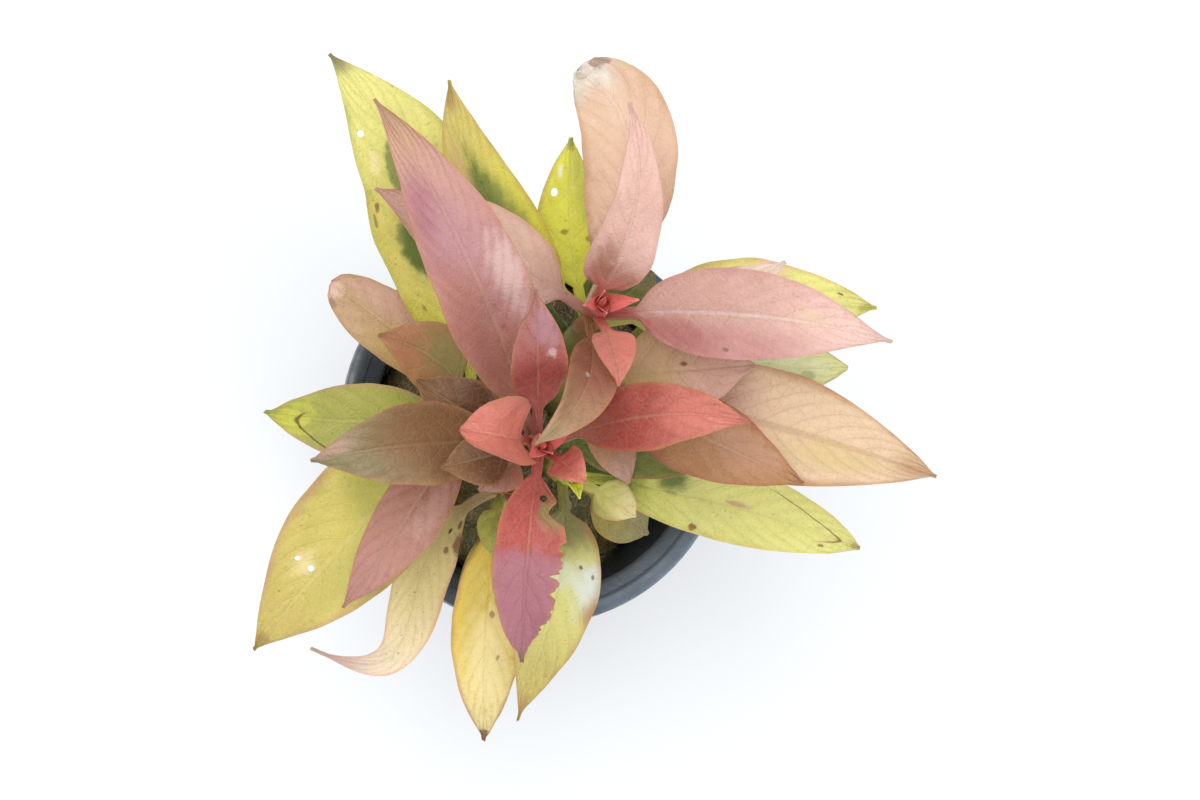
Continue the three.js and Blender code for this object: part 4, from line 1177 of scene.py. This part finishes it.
def add_fibres(bm, count):
    """Loose fibres that lie on the wool and lift off it at the top."""
    bm.normal_update()
    surface = [(vert.co.copy(), vert.normal.copy()) for vert in bm.verts if vert.co.z > 5]
    # A large prime number spreads the fibres over the whole surface.
    stride = 7919
    for i in range(count):
        place, normal = surface[(i * stride) % len(surface)]
        turn = Vector((math.sin(i * 2.4), math.cos(i * 1.7), 0.4 * math.sin(i * 0.9)))
        lift = 0.1 + 0.35 * abs(math.sin(i * 3.3)) if place.z > PLUG_SHOULDER else 0.01
        along = (turn - normal * turn.dot(normal)).normalized() + normal * lift
        length = 1.4 + 2.4 * abs(math.sin(i * 1.3))
        thick = 0.035 + 0.035 * abs(math.sin(i * 0.7))
        spot = place - normal * 0.03 + along.normalized() * length * 0.35
        turned = along.to_track_quat("Z", "X").to_matrix().to_4x4()
        bmesh.ops.create_cone(bm, cap_ends=True, segments=4, radius1=thick, radius2=0.5 * thick,
                              depth=length, matrix=Matrix.Translation(spot) @ turned)


def plug_mesh():
    """The lumpy plug with loose fibres on its top and sides."""
    bm = turned_mesh(plug_profile(), 90)
    roughen(bm)
    add_fibres(bm, bpy.context.scene.plant_plug.fibres)
    return bm


# Stage, in metres

SKY = (0.95, 0.97, 1.0, 1.0)
SKY_STRENGTH = 0.78
FLOOR_HALF = 4
FLOOR_GLOW = (0.97, 0.98, 1.0, 1.0)
# Name, place, width and watts of each lamp, and the point that they face.
LAMPS = (
    ("softbox_above", (-0.35, 0.25, 1.2), 0.9, 13.0),
    ("softbox_side", (0.9, -0.5, 0.8), 0.8, 6.0),
)
LAMP_TARGET = (0, 0, 0.07)


def floor_material(stage):
    """Pale card, faintly uneven and lit so evenly that it nearly loses its shadows."""
    shader = Shader("floor_white")
    place = shader.object_place()
    lighter = linear([min(1, c * 1.01) for c in stage.floor])
    faint = shader.cover(linear(stage.floor), lighter, shader.noise(place, 3, 2), 0.3, 0.7, 0.4)
    skin = shader.node("ShaderNodeBsdfPrincipled", {"Base Color": faint, "Roughness": 0.8,
                                                    "Specular IOR Level": 0.1,
                                                    "Emission Color": FLOOR_GLOW,
                                                    "Emission Strength": stage.glow})
    return shader.finish(skin.outputs[0])


def add_floor(scene):
    """The floor that the pot stands on."""
    bm = bmesh.new()
    bmesh.ops.create_grid(bm, x_segments=1, y_segments=1, size=FLOOR_HALF)
    floor = loose_object("floor", bm)
    floor.data.materials.append(floor_material(scene.plant_stage))


def add_light(scene):
    """A pale room and two soft lamps."""
    world = bpy.data.worlds.new("pale_room")
    world.use_nodes = True
    background = world.node_tree.nodes["Background"]
    background.inputs[0].default_value = SKY
    background.inputs[1].default_value = SKY_STRENGTH
    scene.world = world
    for name, place, size, energy in LAMPS:
        light = bpy.data.lights.new(name, "AREA")
        light.shape = "DISK"
        light.size = size
        light.energy = energy
        lamp = bpy.data.objects.new(name, light)
        lamp.location = place
        facing = Vector(LAMP_TARGET) - Vector(place)
        lamp.rotation_euler = facing.to_track_quat("-Z", "Y").to_euler()
        scene.collection.objects.link(lamp)


def add_camera(scene):
    """The camera, with +Y up in its picture."""
    stage = scene.plant_stage
    camera = bpy.data.objects.new("camera", bpy.data.cameras.new("camera"))
    camera.data.lens = stage.lens
    camera.data.sensor_width = 36
    camera.data.clip_start = 0.01
    camera.data.clip_end = 20
    back = (Vector(stage.camera) - Vector(stage.target)).normalized()
    right = Vector((0, 1, 0)).cross(back).normalized()
    upward = back.cross(right)
    turn = Matrix((right, upward, back)).transposed()
    camera.matrix_world = Matrix.Translation(Vector(stage.camera)) @ turn.to_4x4()
    scene.collection.objects.link(camera)
    scene.camera = camera


# Operators

class PLANT_OT_pot(bpy.types.Operator):
    """Builds the slotted net pot"""

    bl_idname = "plant.pot"
    bl_label = "Net Pot"

    def execute(self, context):
        make_piece("pot", pot_mesh(), pot_material(), "net_pot", sharp=35)
        return {"FINISHED"}


class PLANT_OT_plug(bpy.types.Operator):
    """Builds the rockwool plug"""

    bl_idname = "plant.plug"
    bl_label = "Rockwool Plug"

    def execute(self, context):
        make_piece("plug", plug_mesh(), wool_material(), "rockwool_plug", sharp=60)
        return {"FINISHED"}


class PLANT_OT_stems(bpy.types.Operator):
    """Builds the six stems with their buds"""

    bl_idname = "plant.stems"
    bl_label = "Stems"

    def execute(self, context):
        for name, shoot in SHOOTS.items():
            make_piece(f"stalk_{name}", stem_mesh(name), stem_material(f"stem_{name}_skin", shoot),
                       f"stem_{name}", sharp=60)
        return {"FINISHED"}


class PLANT_OT_leaves(bpy.types.Operator):
    """Builds the leaves of every shoot"""

    bl_idname = "plant.leaves"
    bl_label = "Leaves"

    def execute(self, context):
        for name in SHOOTS:
            build_leaves(name)
        return {"FINISHED"}


class PLANT_OT_stage(bpy.types.Operator):
    """Adds the pale floor, the lights and the camera"""

    bl_idname = "plant.stage"
    bl_label = "Stage"

    def execute(self, context):
        add_floor(context.scene)
        add_light(context.scene)
        add_camera(context.scene)
        context.scene.view_settings.view_transform = "Standard"
        return {"FINISHED"}


class PLANT_PT_panel(bpy.types.Panel):
    """Buttons and settings of the plant"""

    bl_idname = "PLANT_PT_panel"
    bl_label = "Potted Plant"
    bl_space_type = "VIEW_3D"
    bl_region_type = "UI"
    bl_category = "Plant"

    def draw(self, context):
        for title, operator, groups in PANEL:
            box = self.layout.box()
            box.label(text=title)
            for name in groups:
                group = getattr(context.scene, name)
                for prop in group.__annotations__:
                    box.prop(group, prop)
            box.operator(operator)


PANEL = (
    ("Pot", "plant.pot", ("plant_pot",)),
    ("Plug", "plant.plug", ("plant_plug",)),
    ("Stems", "plant.stems", ("plant_stems",)),
    ("Leaves", "plant.leaves", ("plant_leaves", "plant_tones")),
    ("Stage", "plant.stage", ("plant_stage",)),
)
GROUPS = {
    "plant_pot": PotSettings,
    "plant_plug": PlugSettings,
    "plant_stems": StemSettings,
    "plant_leaves": LeafSettings,
    "plant_tones": LeafTones,
    "plant_stage": StageSettings,
}
CLASSES = (*GROUPS.values(), PLANT_OT_pot, PLANT_OT_plug, PLANT_OT_stems, PLANT_OT_leaves, PLANT_OT_stage,
           PLANT_PT_panel)


def register():
    """Adds the classes and the scene's settings."""
    for cls in CLASSES:
        bpy.utils.register_class(cls)
    for name, group in GROUPS.items():
        setattr(bpy.types.Scene, name, PointerProperty(type=group))


def unregister():
    """Removes the scene's settings and the classes."""
    for name in GROUPS:
        delattr(bpy.types.Scene, name)
    for cls in reversed(CLASSES):
        bpy.utils.unregister_class(cls)


def main():
    """Builds the whole plant on its stage."""
    register()
    bpy.ops.plant.pot()
    bpy.ops.plant.plug()
    bpy.ops.plant.stems()
    bpy.ops.plant.leaves()
    bpy.ops.plant.stage()


if __name__ == "__main__":
    main()
